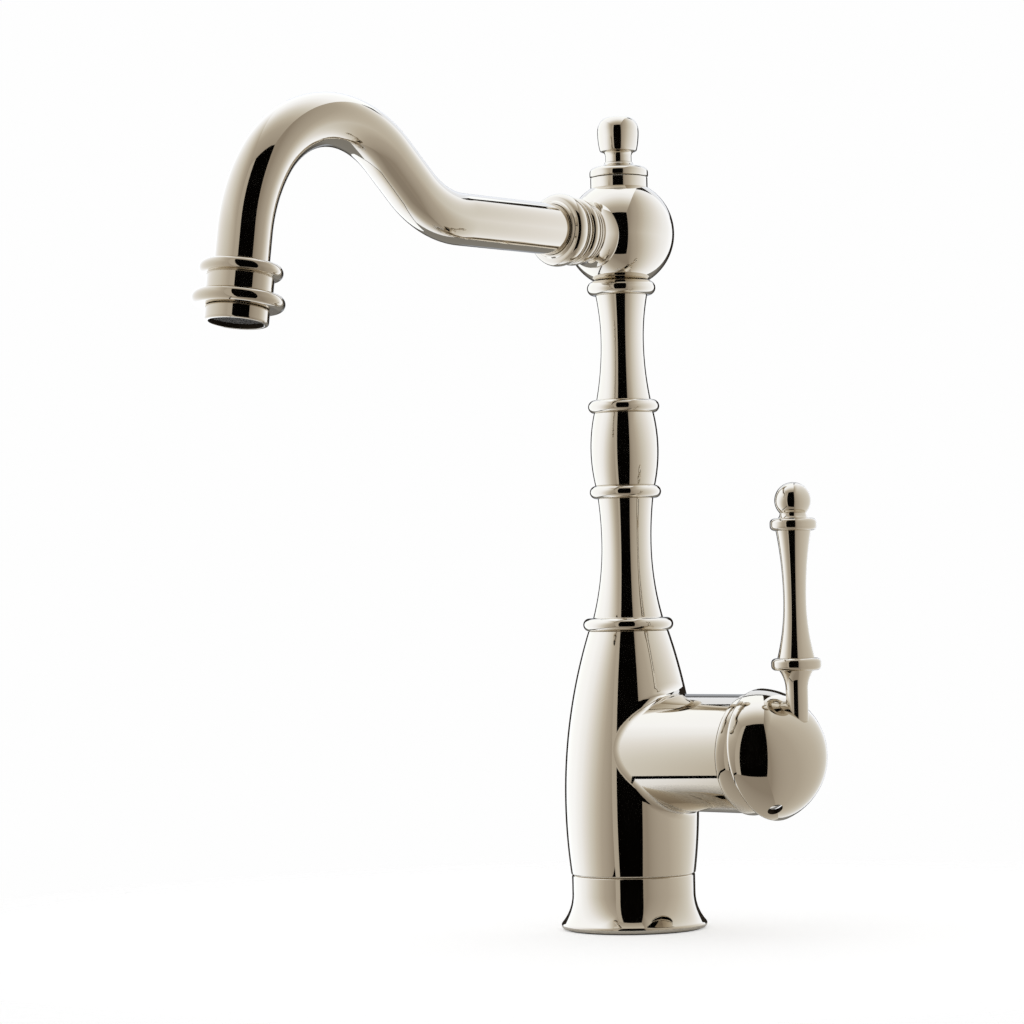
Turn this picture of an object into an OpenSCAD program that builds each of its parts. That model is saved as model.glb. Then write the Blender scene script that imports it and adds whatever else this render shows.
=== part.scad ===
// Gooseneck bar faucet with a turned column, a swivelling spout and one side lever.
// Millimetres. +Z is up and is the column's axis, and the deck is the plane z = 0.
// The spout points along -Y. The lever's barrel points along +X.

/* [Deck flange] */
// Widest diameter of the flange, at its lip on the deck
flange_d = 64.4; // [61:0.2:70]
// Diameter of the flange where it meets the body
flange_neck_d = 54.4; // [52:0.2:56]
// Height of the flange, up to the seam under the body
flange_h = 24.2; // [22:0.2:30]
// Height below which the flange flares outwards
flange_flare_h = 15.6; // [13:0.2:19]
// Radius of the rounded lip
flange_lip_r = 1.7; // [1.2:0.1:2.2]
// Small bevel on both sides of the seam under the body
seam_bevel = 0.5; // [0.2:0.1:0.8]
// Thickness of the sealing ring under the flange
gasket_t = 1.6; // [1.2:0.1:2.4]
// How far the sealing ring stands out below the flange
gasket_proud = 0.4; // [0.2:0.1:0.8]
// Outer diameter of the sealing ring
gasket_d = 60; // [56:0.5:60.5]
// Radial width of the sealing ring
gasket_w = 5.5; // [4:0.5:7]

/* [Valve body] */
// Diameter of the body above the seam
body_base_d = 55; // [53:0.2:57]
// Largest diameter of the body
body_belly_d = 59.2; // [58:0.2:62]
// Height of the largest diameter above the seam
body_belly_h = 32.8; // [26:0.2:40]
// Diameter of the body at its top
body_neck_d = 35.6; // [34.5:0.1:37]
// Height of the body above the seam
body_h = 107.2; // [104:0.2:118]
// Wall of the casting
body_wall = 3.2; // [2.4:0.1:3.8]
// Diameter of the solid foot inside the flange
foot_d = 44; // [42:0.5:45]
// Bore of the body's neck, which takes the column
neck_bore_d = 26; // [25:0.2:27]
// Depth of that bore
neck_bore_h = 6; // [5:0.5:8]

/* [Deck connections] */
// Core diameter of the central stud hole (M8)
stud_hole_d = 6.8; // [6.6:0.1:8.5]
// Depth of the stud hole
stud_hole_h = 14; // [10:0.5:18]
// Core diameter of the hose threads (M10 x 1)
hose_hole_d = 9; // [8.8:0.1:10]
// Depth of the hose threads
hose_hole_h = 12; // [10:0.5:15]
// Distance of each hose thread from the column's axis
hose_offset = 12.5; // [11.5:0.1:13.5]
// Diameter of the water channels in the body
channel_d = 6; // [5:0.2:6.6]

/* [Side barrel] */
// Height of the barrel's axis above the deck
barrel_z = 78; // [74:0.5:82]
// Outer diameter of the barrel
barrel_d = 51; // [50:0.2:53]
// Distance from the column's axis to the barrel's end
barrel_reach = 67.4; // [67:0.2:68]
// Rounding of the barrel's end
barrel_edge_r = 0.8; // [0.4:0.1:1.2]

/* [Cartridge] */
// Outer diameter of the cartridge
cartridge_d = 40; // [39:0.1:40.4]
// Distance of the cartridge's seat from the column's axis
seat_x = 27; // [26:0.2:28]
// Thickness of the cartridge's base
base_t = 4.6; // [4:0.1:5]
// Thickness of the fixed ceramic disc
fixed_disc_t = 4; // [3:0.1:4.4]
// Diameter of the fixed ceramic disc
fixed_disc_d = 33.6; // [32.6:0.1:33.8]
// Thickness of the moving ceramic disc
moving_disc_t = 3.4; // [3:0.1:3.8]
// Diameter of the moving ceramic disc
moving_disc_d = 27; // [26.6:0.1:27.8]
// Inner diameter of the cartridge's housing
housing_bore_d = 34; // [33.6:0.1:35]
// Distance from the column's axis to the housing's front face
housing_front_x = 59; // [58:0.2:59.6]
// Length of the housing's front lip
housing_lip_l = 2.6; // [2.2:0.1:3]
// Diameter of the turning stem carrier
carrier_d = 29.6; // [29:0.1:30.2]
// Distance from the column's axis to the carrier's front face
carrier_front_x = 68; // [66.6:0.2:69]
// Distance from the column's axis to the lever's pivot pin
pivot_x = 63.5; // [63.1:0.1:63.8]
// Diameter of the pivot pin
pivot_pin_d = 3; // [2.5:0.1:3.6]
// Length of the pivot pin
pivot_pin_l = 27; // [24:0.5:28]
// Length of the spindle's inner arm, from the pin to the ball end
inner_arm = 12; // [11.6:0.1:12.4]
// Diameter of the spindle's ball end
ball_end_d = 6; // [5:0.1:6.4]
// Diameter of the spindle
spindle_d = 9; // [8:0.1:9.4]
// Diameter of the water ports in the discs
port_d = 5; // [4.2:0.1:5]
// Distance of the hot and cold ports from the mixed water's port in the middle
port_ring_r = 8.3; // [8.1:0.1:8.4]
// Angle of the hot and cold ports from the top
port_angle = 42; // [40:1:46]
// Radius of the moving disc's pocket
pocket_r = 5.5; // [4.8:0.1:5.5]
// Diameter of the gasket behind the cartridge
port_gasket_d = 26; // [24:0.5:30]
// Thickness of that gasket
port_gasket_t = 1.2; // [0.8:0.1:1.6]

/* [Bonnet] */
// Radius of the bonnet's ball, about the pivot pin
bonnet_ball_r = 26.8; // [26.5:0.05:26.9]
// Radius of the bonnet's band at the barrel's end
bonnet_band_r = 26.3; // [26:0.05:26.4]
// Distance from the column's axis to the bonnet's front face
bonnet_front_x = 78.6; // [77.6:0.1:78.8]
// Diameter of the bonnet's front opening
bonnet_mouth_d = 34.4; // [33.6:0.2:35]
// Diameter of the thread that holds the nut and the bonnet
bonnet_thread_d = 44; // [43:0.2:44.6]
// Length of the cartridge's nut
nut_l = 4.8; // [4:0.1:5.2]

/* [Handle dome] */
// Distance from the column's axis to the middle of the dome's rim
dome_x = 77.3; // [77.1:0.1:77.8]
// Half-axis of the dome's outside, square to its axis
dome_r = 29.2; // [29:0.1:29.5]
// Half-axis of the dome's outside, along its axis
dome_l = 29.9; // [29.6:0.1:31]
// Distance of the half-axes' centre behind the rim
dome_back = 7; // [6.4:0.2:7.6]
// Wall of the dome at its rim
dome_wall = 1.9; // [1.7:0.1:2]
// Slope of the dome's rim
dome_rim_tilt = 9; // [7:0.5:9.5]
// Radius of the rounded rim
dome_rim_r = 1.8; // [1.6:0.1:1.9]
// Outer diameter of the boss around the spindle
spindle_boss_d = 16; // [15:0.2:16.6]
// Depth of the spindle's blind hole
spindle_hole_l = 8; // [7:0.5:9]
// Diameter of the set screw
set_screw_d = 5; // [4:0.1:5.2]
// Length of the set screw
set_screw_l = 4; // [3:0.5:4]
// Diameter of the set screw's access hole in the dome
set_screw_hole_d = 5.8; // [5.5:0.1:6.4]
// Angle of the set screw, forward from straight down
set_screw_angle = 25; // [0:1:40]

/* [Lever] */
// Distance from the column's axis to the lever's axis
lever_x = 91.8; // [90:0.2:92]
// Narrowest diameter of the lever's stem
lever_stem_d = 9.4; // [8:0.1:10]
// Diameter of the stem under the lower bead
lever_stem_top_d = 14.2; // [12:0.1:15.6]
// Height of the stem's flare under that bead
lever_flare_h = 8; // [5:0.5:9]
// Height above the deck of the lower bead's underside
lever_bead_z = 113.8; // [111:0.2:120]
// Diameter of the lower bead
lever_bead_d = 21.2; // [19:0.1:23]
// Thickness of the two beads
lever_bead_h = 5.2; // [4:0.1:6]
// Diameter of the grip at its lower end
grip_base_d = 15.9; // [14:0.1:17]
// Diameter of the grip's waist
grip_waist_d = 9.7; // [9:0.1:11]
// Height of the waist above the grip's lower end
grip_waist_h = 24.6; // [20:0.2:32]
// Diameter of the grip at its upper end
grip_top_d = 15; // [13:0.1:17]
// Length of the grip
grip_l = 54.1; // [48:0.2:64]
// Diameter of the upper bead
lever_top_bead_d = 19.9; // [18:0.1:22]
// Diameter of the neck under the ball knob
knob_neck_d = 12; // [10.6:0.1:13]
// Height of the ball knob's centre above the upper bead
knob_rise = 7.6; // [7:0.1:9]
// Diameter of the ball knob
knob_d = 15.5; // [14.5:0.1:18]
// Diameter of the studs that join the lever's pieces
stud_d = 5; // [4:0.1:6]
// Length of those studs
stud_l = 6; // [4:0.5:7]
// How far the lever tilts away from the column, in degrees
lever_travel = 25; // [18:1:25]

/* [Column] */
// Thickness of the column's beads
bead_h = 5.8; // [4.6:0.1:6.6]
// Diameter of the bead on top of the body
foot_bead_d = 39.9; // [38:0.1:42]
// Diameter of the two middle beads
mid_bead_d = 31.6; // [30:0.1:34]
// Diameter of the lower shaft at its bottom
lower_base_d = 31; // [29:0.1:33]
// Diameter of the lower shaft's waist
lower_waist_d = 22.2; // [21.4:0.1:24]
// Diameter of the lower shaft at its top
lower_top_d = 24.6; // [24.1:0.1:26]
// Length of the lower shaft
lower_l = 52.8; // [48:0.2:60]
// Height of the waist above the lower shaft's bottom
lower_waist_h = 33; // [26:0.2:38]
// Diameter of the middle piece at its ends
middle_end_d = 26.6; // [25.8:0.1:28]
// Diameter of the middle piece at its belly
middle_belly_d = 30.2; // [29:0.1:31.4]
// Length of the middle piece between its beads
middle_l = 32.1; // [28:0.2:38]
// Diameter of the upper shaft at its bottom
upper_base_d = 24.2; // [22:0.1:26]
// Diameter of the upper shaft's waist
upper_waist_d = 19.1; // [18.6:0.1:21]
// Diameter of the upper shaft at its top
upper_top_d = 23; // [21.6:0.1:25]
// Length of the upper shaft
upper_l = 46.5; // [42:0.2:54]
// Height of the waist above the upper shaft's bottom
upper_waist_h = 26.3; // [22:0.2:30]
// Bore of the column's three pieces
column_bore_d = 12.6; // [12.3:0.1:13.6]
// Diameter of the spigots that centre the pieces on each other
spigot_d = 16.8; // [16:0.1:17.2]
// Length of those spigots
spigot_h = 4; // [3:0.1:5]
// Outer diameter of the riser tube
riser_d = 12; // [11:0.1:12.1]
// Wall of the riser tube
riser_wall = 1; // [0.8:0.1:1.2]
// Section diameter of the riser tube's seal rings
riser_seal_t = 1.6; // [1.2:0.1:1.8]

/* [Swivel] */
// Thickness of the bead that the ball turns on
seat_bead_h = 6.4; // [5.4:0.1:7]
// Diameter of that bead
seat_bead_d = 30.4; // [29.4:0.1:33]
// Diameter of the post through the ball
post_d = 18.5; // [17.6:0.1:19]
// Diameter of the post's lower spigot
post_spigot_d = 14; // [13.6:0.1:14.6]
// Length of the post's lower spigot
post_spigot_l = 12; // [9:0.5:14]
// Bore of the post
post_bore_d = 10; // [8:0.1:10.6]
// Diameter of the threaded top of the post
post_thread_d = 12; // [10:0.1:13]
// Thickness of the two plastic washers
washer_t = 1.2; // [1:0.1:1.6]
// Outer diameter of the two plastic washers
washer_d = 21.6; // [21:0.1:22.4]
// Section diameter of the post's seal rings
post_seal_t = 1.8; // [1.4:0.1:2]
// Distance of each seal ring from the middle of the ball
post_seal_offset = 12.6; // [12.4:0.1:14]

/* [Ball and finial] */
// Diameter of the ball that carries the spout
ball_d = 48.1; // [47.5:0.1:50]
// Distance from the ball's centre down to its flat underside
ball_base_h = 20.6; // [20:0.1:21]
// Distance from the ball's centre up to the top of its collar
ball_collar_h = 25; // [24.4:0.1:26]
// Diameter of that collar
ball_collar_d = 25.4; // [24.6:0.1:27]
// Diameter of the cap above the collar
cap_d = 26; // [25:0.1:28]
// Height of the cap
cap_h = 6.6; // [6.2:0.1:8]
// Diameter of the finial's neck
finial_neck_d = 11.6; // [10.6:0.1:12]
// Diameter of the finial's bulb
finial_d = 18.4; // [17.4:0.1:20]
// Diameter of the finial's stud
finial_stud_d = 6; // [5:0.1:7]
// Height of the finial above the cap
finial_h = 20.6; // [19.4:0.1:23]

/* [Spout] */
// How far the spout's axis lies below the ball's centre
spout_drop = 1.2; // [0:0.1:2]
// Outer diameter of the spout tube
spout_d = 22; // [21.4:0.1:22.2]
// Wall of the spout tube
spout_wall = 1.5; // [1.1:0.1:1.7]
// Distance from the column's axis to the start of the spout tube
spout_start = 40.2; // [39.4:0.1:42]
// Length of the first straight run
spout_run_l = 65.2; // [56:0.2:78]
// Radius of the bend that lifts the spout
lift_bend_r = 45.6; // [36:0.2:60]
// Angle of the bend that lifts the spout
lift_bend_a = 40.9; // [36:0.1:45]
// Length of the rising straight run
lift_run_l = 18.2; // [10:0.2:28]
// Radius of the arch
arch_r = 47.5; // [44:0.2:56]
// Angle of the arch
arch_a = 94.8; // [90:0.1:98]
// Radius of the last bend
drop_bend_r = 67.4; // [60:0.2:80]
// Angle of the last bend
drop_bend_a = 27.5; // [24:0.1:32]
// Length of the last straight run above the outlet
drop_run_l = 11.8; // [8:0.2:20]
// Diameter of the flared foot of the spout on the ball
spout_foot_d = 32; // [30:0.1:33]
// Diameter of the threaded spigot in front of the foot
hub_spigot_d = 24.8; // [24.4:0.1:25.2]
// Diameter of the spout's nut
union_d = 31.6; // [30.4:0.1:34]
// Length of the spout's nut
union_l = 10.3; // [9.6:0.1:12]
// Diameter of the ring between the foot and the nut
lock_ring_d = 28.4; // [27.6:0.1:31]
// Length of that ring
lock_ring_l = 6.2; // [5.4:0.1:7.4]

/* [Outlet] */
// Diameter of the outlet's upper bead
outlet_bead_d = 33.2; // [31:0.1:35]
// Thickness of the upper bead
outlet_bead_h = 5.6; // [4.6:0.1:6]
// Diameter of the neck between the beads
outlet_neck_d = 26.6; // [26:0.1:28]
// Length of that neck
outlet_neck_l = 6.6; // [5:0.1:8]
// Diameter of the outlet's lower bead
outlet_rim_d = 36.8; // [35:0.1:39]
// Thickness of the lower bead
outlet_rim_h = 6.4; // [5.6:0.1:7]
// Length of tube inside the outlet
outlet_socket_l = 8; // [7:0.1:9]
// Diameter of the aerator's ring below the outlet
aerator_d = 25.6; // [25.2:0.1:26.4]
// Height of that ring
aerator_h = 5.8; // [4.8:0.1:7]
// Diameter of the aerator's thread (M24)
aerator_thread_d = 23.2; // [23:0.1:23.6]
// Diameter of the screen
screen_d = 21.7; // [21:0.1:21.8]

/* [Fits] */
// Radial gap of the parts that turn on each other
running_gap = 0.05; // [0.03:0.01:0.1]
// Gap between pieces that are slid or screwed together
slip_gap = 0.1; // [0.05:0.01:0.15]
// Gap between a turning piece and its neighbour's face
turn_gap = 0.3; // [0.2:0.05:0.4]

/* [Hidden] */

$fn = 96;
// How far a cutting shape runs past the face that it cuts
past = 1;
// Steps of an outline's curved stretches
steps = 12;

nickel = "#CFC7B8";
brass = "#C9A552";
rubber = "#26262A";
plastic = "#E4E2DC";
dark_plastic = "#3A3C40";
ceramic = "#F3F0EA";
steel = "#A9ADB0";

// Heights of the column's stack, from the deck up
body_top = flange_h + body_h;
lower_z = body_top + bead_h;
lower_top = lower_z + lower_l;
middle_z = lower_top + bead_h;
middle_top = middle_z + middle_l;
upper_z = middle_top + bead_h;
upper_top = upper_z + upper_l;
seat_top = upper_top + seat_bead_h;
ball_base_z = seat_top + turn_gap;
ball_z = ball_base_z + ball_base_h;
ball_collar_top = ball_z + ball_collar_h;
cap_z = ball_collar_top + turn_gap;
finial_z = cap_z + cap_h;
spout_z = ball_z - spout_drop;

// The foot of the body ends just above the sealing ring's underside
foot_z = gasket_proud * 2;
foot_bore_top = foot_z + hose_hole_h;
block_back = -12;
block_front = seat_x;
cavity_floor = flange_h + 6;
riser_z = barrel_z + barrel_d / 2 - 6;
riser_socket_top = riser_z + 14;
port_y = port_ring_r * sin(port_angle);
port_z = barrel_z + port_ring_r * cos(port_angle);
// Where the slanting channels from the hose pillars meet the ports' channels
port_turn_x = 10;
riser_boss_r = riser_d / 2 + 3.2;
riser_top = upper_top + 5;
post_foot_z = upper_top - post_spigot_l;
// The riser tube is sealed in the body's socket and in the post's foot
riser_seal_z = [riser_z + 5, upper_top + 2];

// Distances along the barrel's axis
base_back = seat_x + turn_gap;
disc_back = base_back + base_t;
moving_back = disc_back + fixed_disc_t + running_gap;
driver_back = moving_back + moving_disc_t;
ball_end_x = pivot_x - inner_arm;
driver_front = ball_end_x + 1.5;
carrier_back = driver_front + 1.5;
lip_back = housing_front_x - housing_lip_l;
nut_back = housing_front_x + slip_gap;
nut_front = nut_back + nut_l;
// The moving disc rests low and rises with the spindle's inner end
disc_rise = inner_arm * sin(lever_travel);
socket_gap = 0.5;
boss_back_x = 84;
hollow_l = dome_l - 2.4;

// Heights of the lever's pieces
lever_foot_z = barrel_z + 14;
grip_z = lever_bead_z + lever_bead_h;
grip_top_z = grip_z + grip_l;

// Distances along the spout's axis
foot_start = sqrt(pow(ball_d / 2, 2) - pow(spout_foot_d / 2, 2));
foot_end = 26;
lock_ring_start = foot_end + turn_gap;
hub_end = spout_start - 1.2;
union_end = spout_start + 6.6;
union_start = union_end - union_l;
spout_flange_t = 2;
spout_bore_r = spout_d / 2 - spout_wall;

// The spout's centre line: each step is [straight length, bend radius, bend angle, up is positive]
spout_steps = [[spout_run_l, 0, 0], [0, lift_bend_r, lift_bend_a], [lift_run_l, 0, 0],
    [0, arch_r, -arch_a], [0, drop_bend_r, -drop_bend_a], [drop_run_l, 0, 0]];

// Distances along the outlet, from its upper face
outlet_l = outlet_bead_h + outlet_neck_l + outlet_rim_h;
thread_start = outlet_socket_l + 2.6;
aerator_back = thread_start + 2;
aerator_end = outlet_l + slip_gap + aerator_h;
screen_start = aerator_end - 2.6;

// Points of an arc, with angles counted from the first axis
function arc(centre, r, from, to, n = steps) =
    [for (i = [0:n]) let (a = from + (to - from) * i / n) centre + r * [cos(a), sin(a)]];
// Points of a quarter of an ellipse
function quarter(centre, rx, ry, from, to, n = 2 * steps) =
    [for (i = [0:n]) let (a = from + (to - from) * i / n) centre + [rx * cos(a), ry * sin(a)]];
// Radius at height z of an arc that stands upright at its middle and ends at [r_end, z_end]
function swept_r(r_mid, z_mid, r_end, z_end, z) =
    let (dr = r_end - r_mid, dz = z_end - z_mid, r = (dz * dz + dr * dr) / (2 * abs(dr)))
    r_mid + sign(dr) * (r - sqrt(r * r - pow(z - z_mid, 2)));
// Outline of a shaft that narrows or swells between its ends
function shaft(r0, z0, r_mid, z_mid, r1, z1, n = steps) = concat(
    [for (i = [0:n]) let (z = z0 + (z_mid - z0) * i / n) [swept_r(r_mid, z_mid, r0, z0, z), z]],
    [for (i = [1:n]) let (z = z_mid + (z1 - z_mid) * i / n) [swept_r(r_mid, z_mid, r1, z1, z), z]]);
// Outline of a half-round bead that starts at height z
function bead(r, h, z) = arc([r - h / 2, z + h / 2], h / 2, -90, 90, 16);

// A turned piece: an outline of [radius, height] points closed on a straight bore
module turned(outline, bore_r) {
    first = outline[0];
    last = outline[len(outline) - 1];
    rotate_extrude() polygon(concat([[bore_r, first[1]]], outline, [[bore_r, last[1]]]));
}

module ring(outer_r, inner_r, z0, z1) {
    rotate_extrude() translate([inner_r, z0]) square([outer_r - inner_r, z1 - z0]);
}

module o_ring(mid_r, section_d) {
    rotate_extrude() translate([mid_r, 0]) circle(d = section_d);
}

// Places a piece that is modelled along +Z on the barrel's axis
module on_barrel(x = 0) {
    translate([x, 0, barrel_z]) rotate([0, 90, 0]) children();
}

// Places a piece that is modelled along +Z on the spout's axis
module on_spout(s = 0) {
    translate([0, -s, spout_z]) rotate([90, 0, 0]) children();
}

// The hot and cold ports
module at_inlets(x) {
    for (side = [-1, 1]) translate([x, side * port_y, port_z]) rotate([0, 90, 0]) children();
}

// The cartridge's three ports, with the mixed water in the middle
module at_ports(x) {
    at_inlets(x) children();
    on_barrel(x) children();
}

module deck_gasket() {
    color(rubber) ring(gasket_d / 2, gasket_d / 2 - gasket_w, 0, gasket_t);
}

module base_flange() {
    neck_r = flange_neck_d / 2;
    lip = [flange_d / 2 - flange_lip_r, gasket_proud + flange_lip_r];
    // The flare is one hollow arc, upright at its top and tangent to the rounded lip
    dx = lip[0] - neck_r;
    dz = flange_flare_h - lip[1];
    flare_r = (dx * dx + dz * dz - flange_lip_r * flange_lip_r) / (2 * (dx + flange_lip_r));
    flare_c = [neck_r + flare_r, flange_flare_h];
    meet = atan2(flare_c[1] - lip[1], flare_c[0] - lip[0]);
    color(nickel) difference() {
        turned(concat(arc(lip, flange_lip_r, -90, meet),
            arc(flare_c, flare_r, 180 + meet, 180),
            [[neck_r, flange_h - seam_bevel], [neck_r - seam_bevel, flange_h]]),
            foot_d / 2 + slip_gap);
        ring(gasket_d / 2 + slip_gap, gasket_d / 2 - gasket_w - slip_gap, gasket_proud - past, gasket_t);
    }
}

function body_outline() = let (belly_z = flange_h + body_belly_h, r = body_base_d / 2)
    concat([[r - seam_bevel, flange_h]],
        shaft(r, flange_h + seam_bevel, body_belly_d / 2, belly_z, body_neck_d / 2, body_top, 20));

module body_cavity() {
    inner = [for (p = body_outline()) if (p[1] > cavity_floor && p[1] < body_top - neck_bore_h - 2)
        [p[0] - body_wall, p[1]]];
    difference() {
        rotate_extrude() polygon(concat([[0, inner[0][1]]], inner, [[0, inner[len(inner) - 1][1]]]));
        translate([block_back, -body_belly_d, barrel_z - barrel_d / 2 + 1.5])
            cube([body_belly_d, 2 * body_belly_d, barrel_d - 3]);
        on_barrel() cylinder(d = barrel_d, h = barrel_reach);
        cylinder(r = riser_boss_r, h = riser_socket_top);
        for (side = [-1, 1])
            translate([0, side * hose_offset, 0]) cylinder(d = channel_d + 6, h = barrel_z);
    }
}

module valve_body() {
    color(nickel) difference() {
        union() {
            turned(body_outline(), 0);
            translate([0, 0, foot_z]) cylinder(d = foot_d, h = flange_h);
            on_barrel() turned(concat([[barrel_d / 2, 0]],
                arc([barrel_d / 2 - barrel_edge_r, barrel_reach - barrel_edge_r], barrel_edge_r, 0, 90)), 0);
        }
        body_cavity();
        translate([0, 0, body_top - neck_bore_h]) cylinder(d = neck_bore_d, h = neck_bore_h + past);
        translate([0, 0, riser_socket_top + past])
            cylinder(r = riser_boss_r, h = body_top - neck_bore_h - riser_socket_top);
        // Chamber of the cartridge, with the wider thread in front
        on_barrel(seat_x) cylinder(d = cartridge_d + 4 * slip_gap, h = barrel_reach);
        on_barrel(housing_front_x) cylinder(d = bonnet_thread_d, h = barrel_reach);
        // Riser tube's socket and the mixed water's way up to it
        translate([0, 0, riser_z]) cylinder(r = riser_d / 2 + slip_gap, h = body_top);
        riser_groove(riser_seal_z[0]);
        translate([0, 0, barrel_z]) cylinder(d = channel_d, h = riser_z - barrel_z + past);
        translate([0, 0, foot_z - past]) cylinder(d = stud_hole_d, h = stud_hole_h + past);
        for (side = [-1, 1]) translate([0, side * hose_offset, 0]) {
            translate([0, 0, foot_z - past]) cylinder(d = hose_hole_d, h = hose_hole_h + past);
            translate([0, 0, foot_z]) cylinder(d = channel_d, h = port_z);
            translate([0, 0, port_z]) rotate([0, 90, -side * atan2(hose_offset - port_y, port_turn_x)])
                cylinder(d = port_d, h = norm([hose_offset - port_y, port_turn_x]));
        }
        at_inlets(port_turn_x) {
            sphere(d = port_d);
            cylinder(d = port_d, h = seat_x - port_turn_x + past);
        }
        on_barrel() cylinder(d = port_d, h = seat_x + past);
    }
}

// A plain spigot under a column piece, and the socket that takes it
module spigot_below(z) {
    translate([0, 0, z - spigot_h]) cylinder(d = spigot_d, h = spigot_h + past);
}

module socket_above(z) {
    translate([0, 0, z - spigot_h - slip_gap]) cylinder(d = spigot_d + 2 * slip_gap, h = spigot_h + past);
}

// Groove that holds one of the riser tube's seal rings
module riser_groove(z) {
    translate([0, 0, z]) ring(riser_d / 2 + riser_seal_t + slip_gap, riser_d / 2 - riser_wall,
        -riser_seal_t / 2 - slip_gap, riser_seal_t / 2 + slip_gap);
}

module column_bore() {
    translate([0, 0, body_top - 2 * neck_bore_h])
        cylinder(d = column_bore_d, h = upper_top - body_top + 4 * neck_bore_h);
}

module column_lower() {
    color(nickel) difference() {
        union() {
            turned(concat(bead(foot_bead_d / 2, bead_h, body_top),
                shaft(lower_base_d / 2, lower_z, lower_waist_d / 2, lower_z + lower_waist_h,
                    lower_top_d / 2, lower_top)), 0);
            translate([0, 0, body_top - neck_bore_h + slip_gap])
                cylinder(d = neck_bore_d - 2 * slip_gap, h = neck_bore_h);
        }
        column_bore();
        socket_above(lower_top);
    }
}

module column_middle() {
    color(nickel) difference() {
        union() {
            turned(concat(bead(mid_bead_d / 2, bead_h, lower_top),
                shaft(middle_end_d / 2, middle_z, middle_belly_d / 2, middle_z + middle_l / 2,
                    middle_end_d / 2, middle_top),
                bead(mid_bead_d / 2, bead_h, middle_top)), 0);
            spigot_below(lower_top);
        }
        column_bore();
        socket_above(upper_z);
    }
}

module column_upper() {
    color(nickel) difference() {
        union() {
            turned(shaft(upper_base_d / 2, upper_z, upper_waist_d / 2, upper_z + upper_waist_h,
                upper_top_d / 2, upper_top), 0);
            spigot_below(upper_z);
        }
        column_bore();
        translate([0, 0, post_foot_z - slip_gap])
            cylinder(d = post_spigot_d + 2 * slip_gap, h = post_spigot_l + past);
    }
}

module riser_tube() {
    color(brass) ring(riser_d / 2, riser_d / 2 - riser_wall, riser_z + slip_gap, riser_top);
}

// Seal rings in the body's socket and in the post's foot
module riser_seals() {
    color(rubber) for (z = riser_seal_z) translate([0, 0, z])
        o_ring(riser_d / 2 + riser_seal_t / 2 + 0.02, riser_seal_t);
}

module swivel_seat() {
    color(nickel) difference() {
        turned(bead(seat_bead_d / 2, seat_bead_h, upper_top), post_d / 2 + slip_gap);
        translate([0, 0, seat_top - washer_t + turn_gap / 2])
            cylinder(d = washer_d + 2 * slip_gap, h = washer_t + past);
    }
}

module swivel_post() {
    seal_r = post_d / 2 - post_seal_t;
    color(brass) difference() {
        union() {
            translate([0, 0, post_foot_z]) cylinder(d = post_spigot_d, h = post_spigot_l + past);
            translate([0, 0, upper_top]) cylinder(d = post_d, h = cap_z - upper_top);
            translate([0, 0, cap_z]) cylinder(d = post_thread_d, h = 4);
        }
        translate([0, 0, post_foot_z - past])
            cylinder(r = riser_d / 2 + slip_gap, h = riser_top + slip_gap - post_foot_z + past);
        riser_groove(riser_seal_z[1]);
        translate([0, 0, upper_top]) cylinder(d = post_bore_d, h = ball_z + 5 - upper_top);
        for (turn = [0, 90]) translate([0, 0, ball_z]) rotate([90, 0, turn])
            cylinder(d = 8, h = 2 * post_d, center = true);
        for (side = [-1, 1]) translate([0, 0, ball_z + side * post_seal_offset])
            ring(post_d, seal_r - slip_gap, -post_seal_t / 2 - slip_gap, post_seal_t / 2 + slip_gap);
        translate([0, 0, cap_z - 6]) cylinder(r = finial_stud_d / 2 + slip_gap, h = 12);
    }
}

module post_seals() {
    color(rubber) for (side = [-1, 1]) translate([0, 0, ball_z + side * post_seal_offset])
        o_ring(post_d / 2 - post_seal_t / 2, post_seal_t);
}

// One washer under the ball and one above its collar
module swivel_washers() {
    color(plastic) for (z = [seat_top + turn_gap / 2 - washer_t, cap_z - turn_gap / 2])
        ring(washer_d / 2, post_d / 2 + slip_gap, z, z + washer_t);
}

module finial_cap() {
    r = cap_d / 2;
    edge_r = 3.5;
    foot_r = finial_neck_d / 2 + 0.4;
    step_h = cap_h * 0.7;
    color(nickel) difference() {
        translate([0, 0, cap_z]) turned(concat([[r - 0.4, 0], [r, 0.4]],
            quarter([r - edge_r, 2], edge_r, step_h - 2, 0, 90, 12),
            quarter([r - edge_r, cap_h], r - edge_r - foot_r, cap_h - step_h, 270, 180, 12)), 0);
        translate([0, 0, cap_z - past]) cylinder(r = post_thread_d / 2 + slip_gap, h = past + 4 + slip_gap);
        translate([0, 0, cap_z]) cylinder(r = finial_stud_d / 2 + slip_gap, h = cap_h + past);
        ring(washer_d / 2 + slip_gap, post_d / 2, cap_z - past, cap_z + washer_t - turn_gap / 2 + slip_gap);
    }
}

module finial() {
    r = finial_d / 2;
    neck_r = finial_neck_d / 2;
    neck_h = 2.8;
    flare_r = 2.2;
    bulb_h = neck_h + flare_r + 0.6;
    widest_h = finial_h * 0.66;
    crown_h = finial_h - widest_h - 0.5;
    color(nickel) {
        translate([0, 0, finial_z]) turned(concat([[neck_r, 0]],
            arc([neck_r + flare_r, neck_h], flare_r, 180, 90, 8),
            [for (i = [0:8]) let (z = bulb_h + (widest_h - bulb_h) * i / 8)
                [swept_r(r, widest_h, r - 0.9, bulb_h, z), z]],
            quarter([r / 2, widest_h], r / 2, crown_h, 6, 90, 14),
            [[r / 4, finial_h - 0.13], [0, finial_h]]), 0);
        translate([0, 0, cap_z - 5]) cylinder(d = finial_stud_d, h = cap_h + 5 + past);
    }
}

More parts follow.
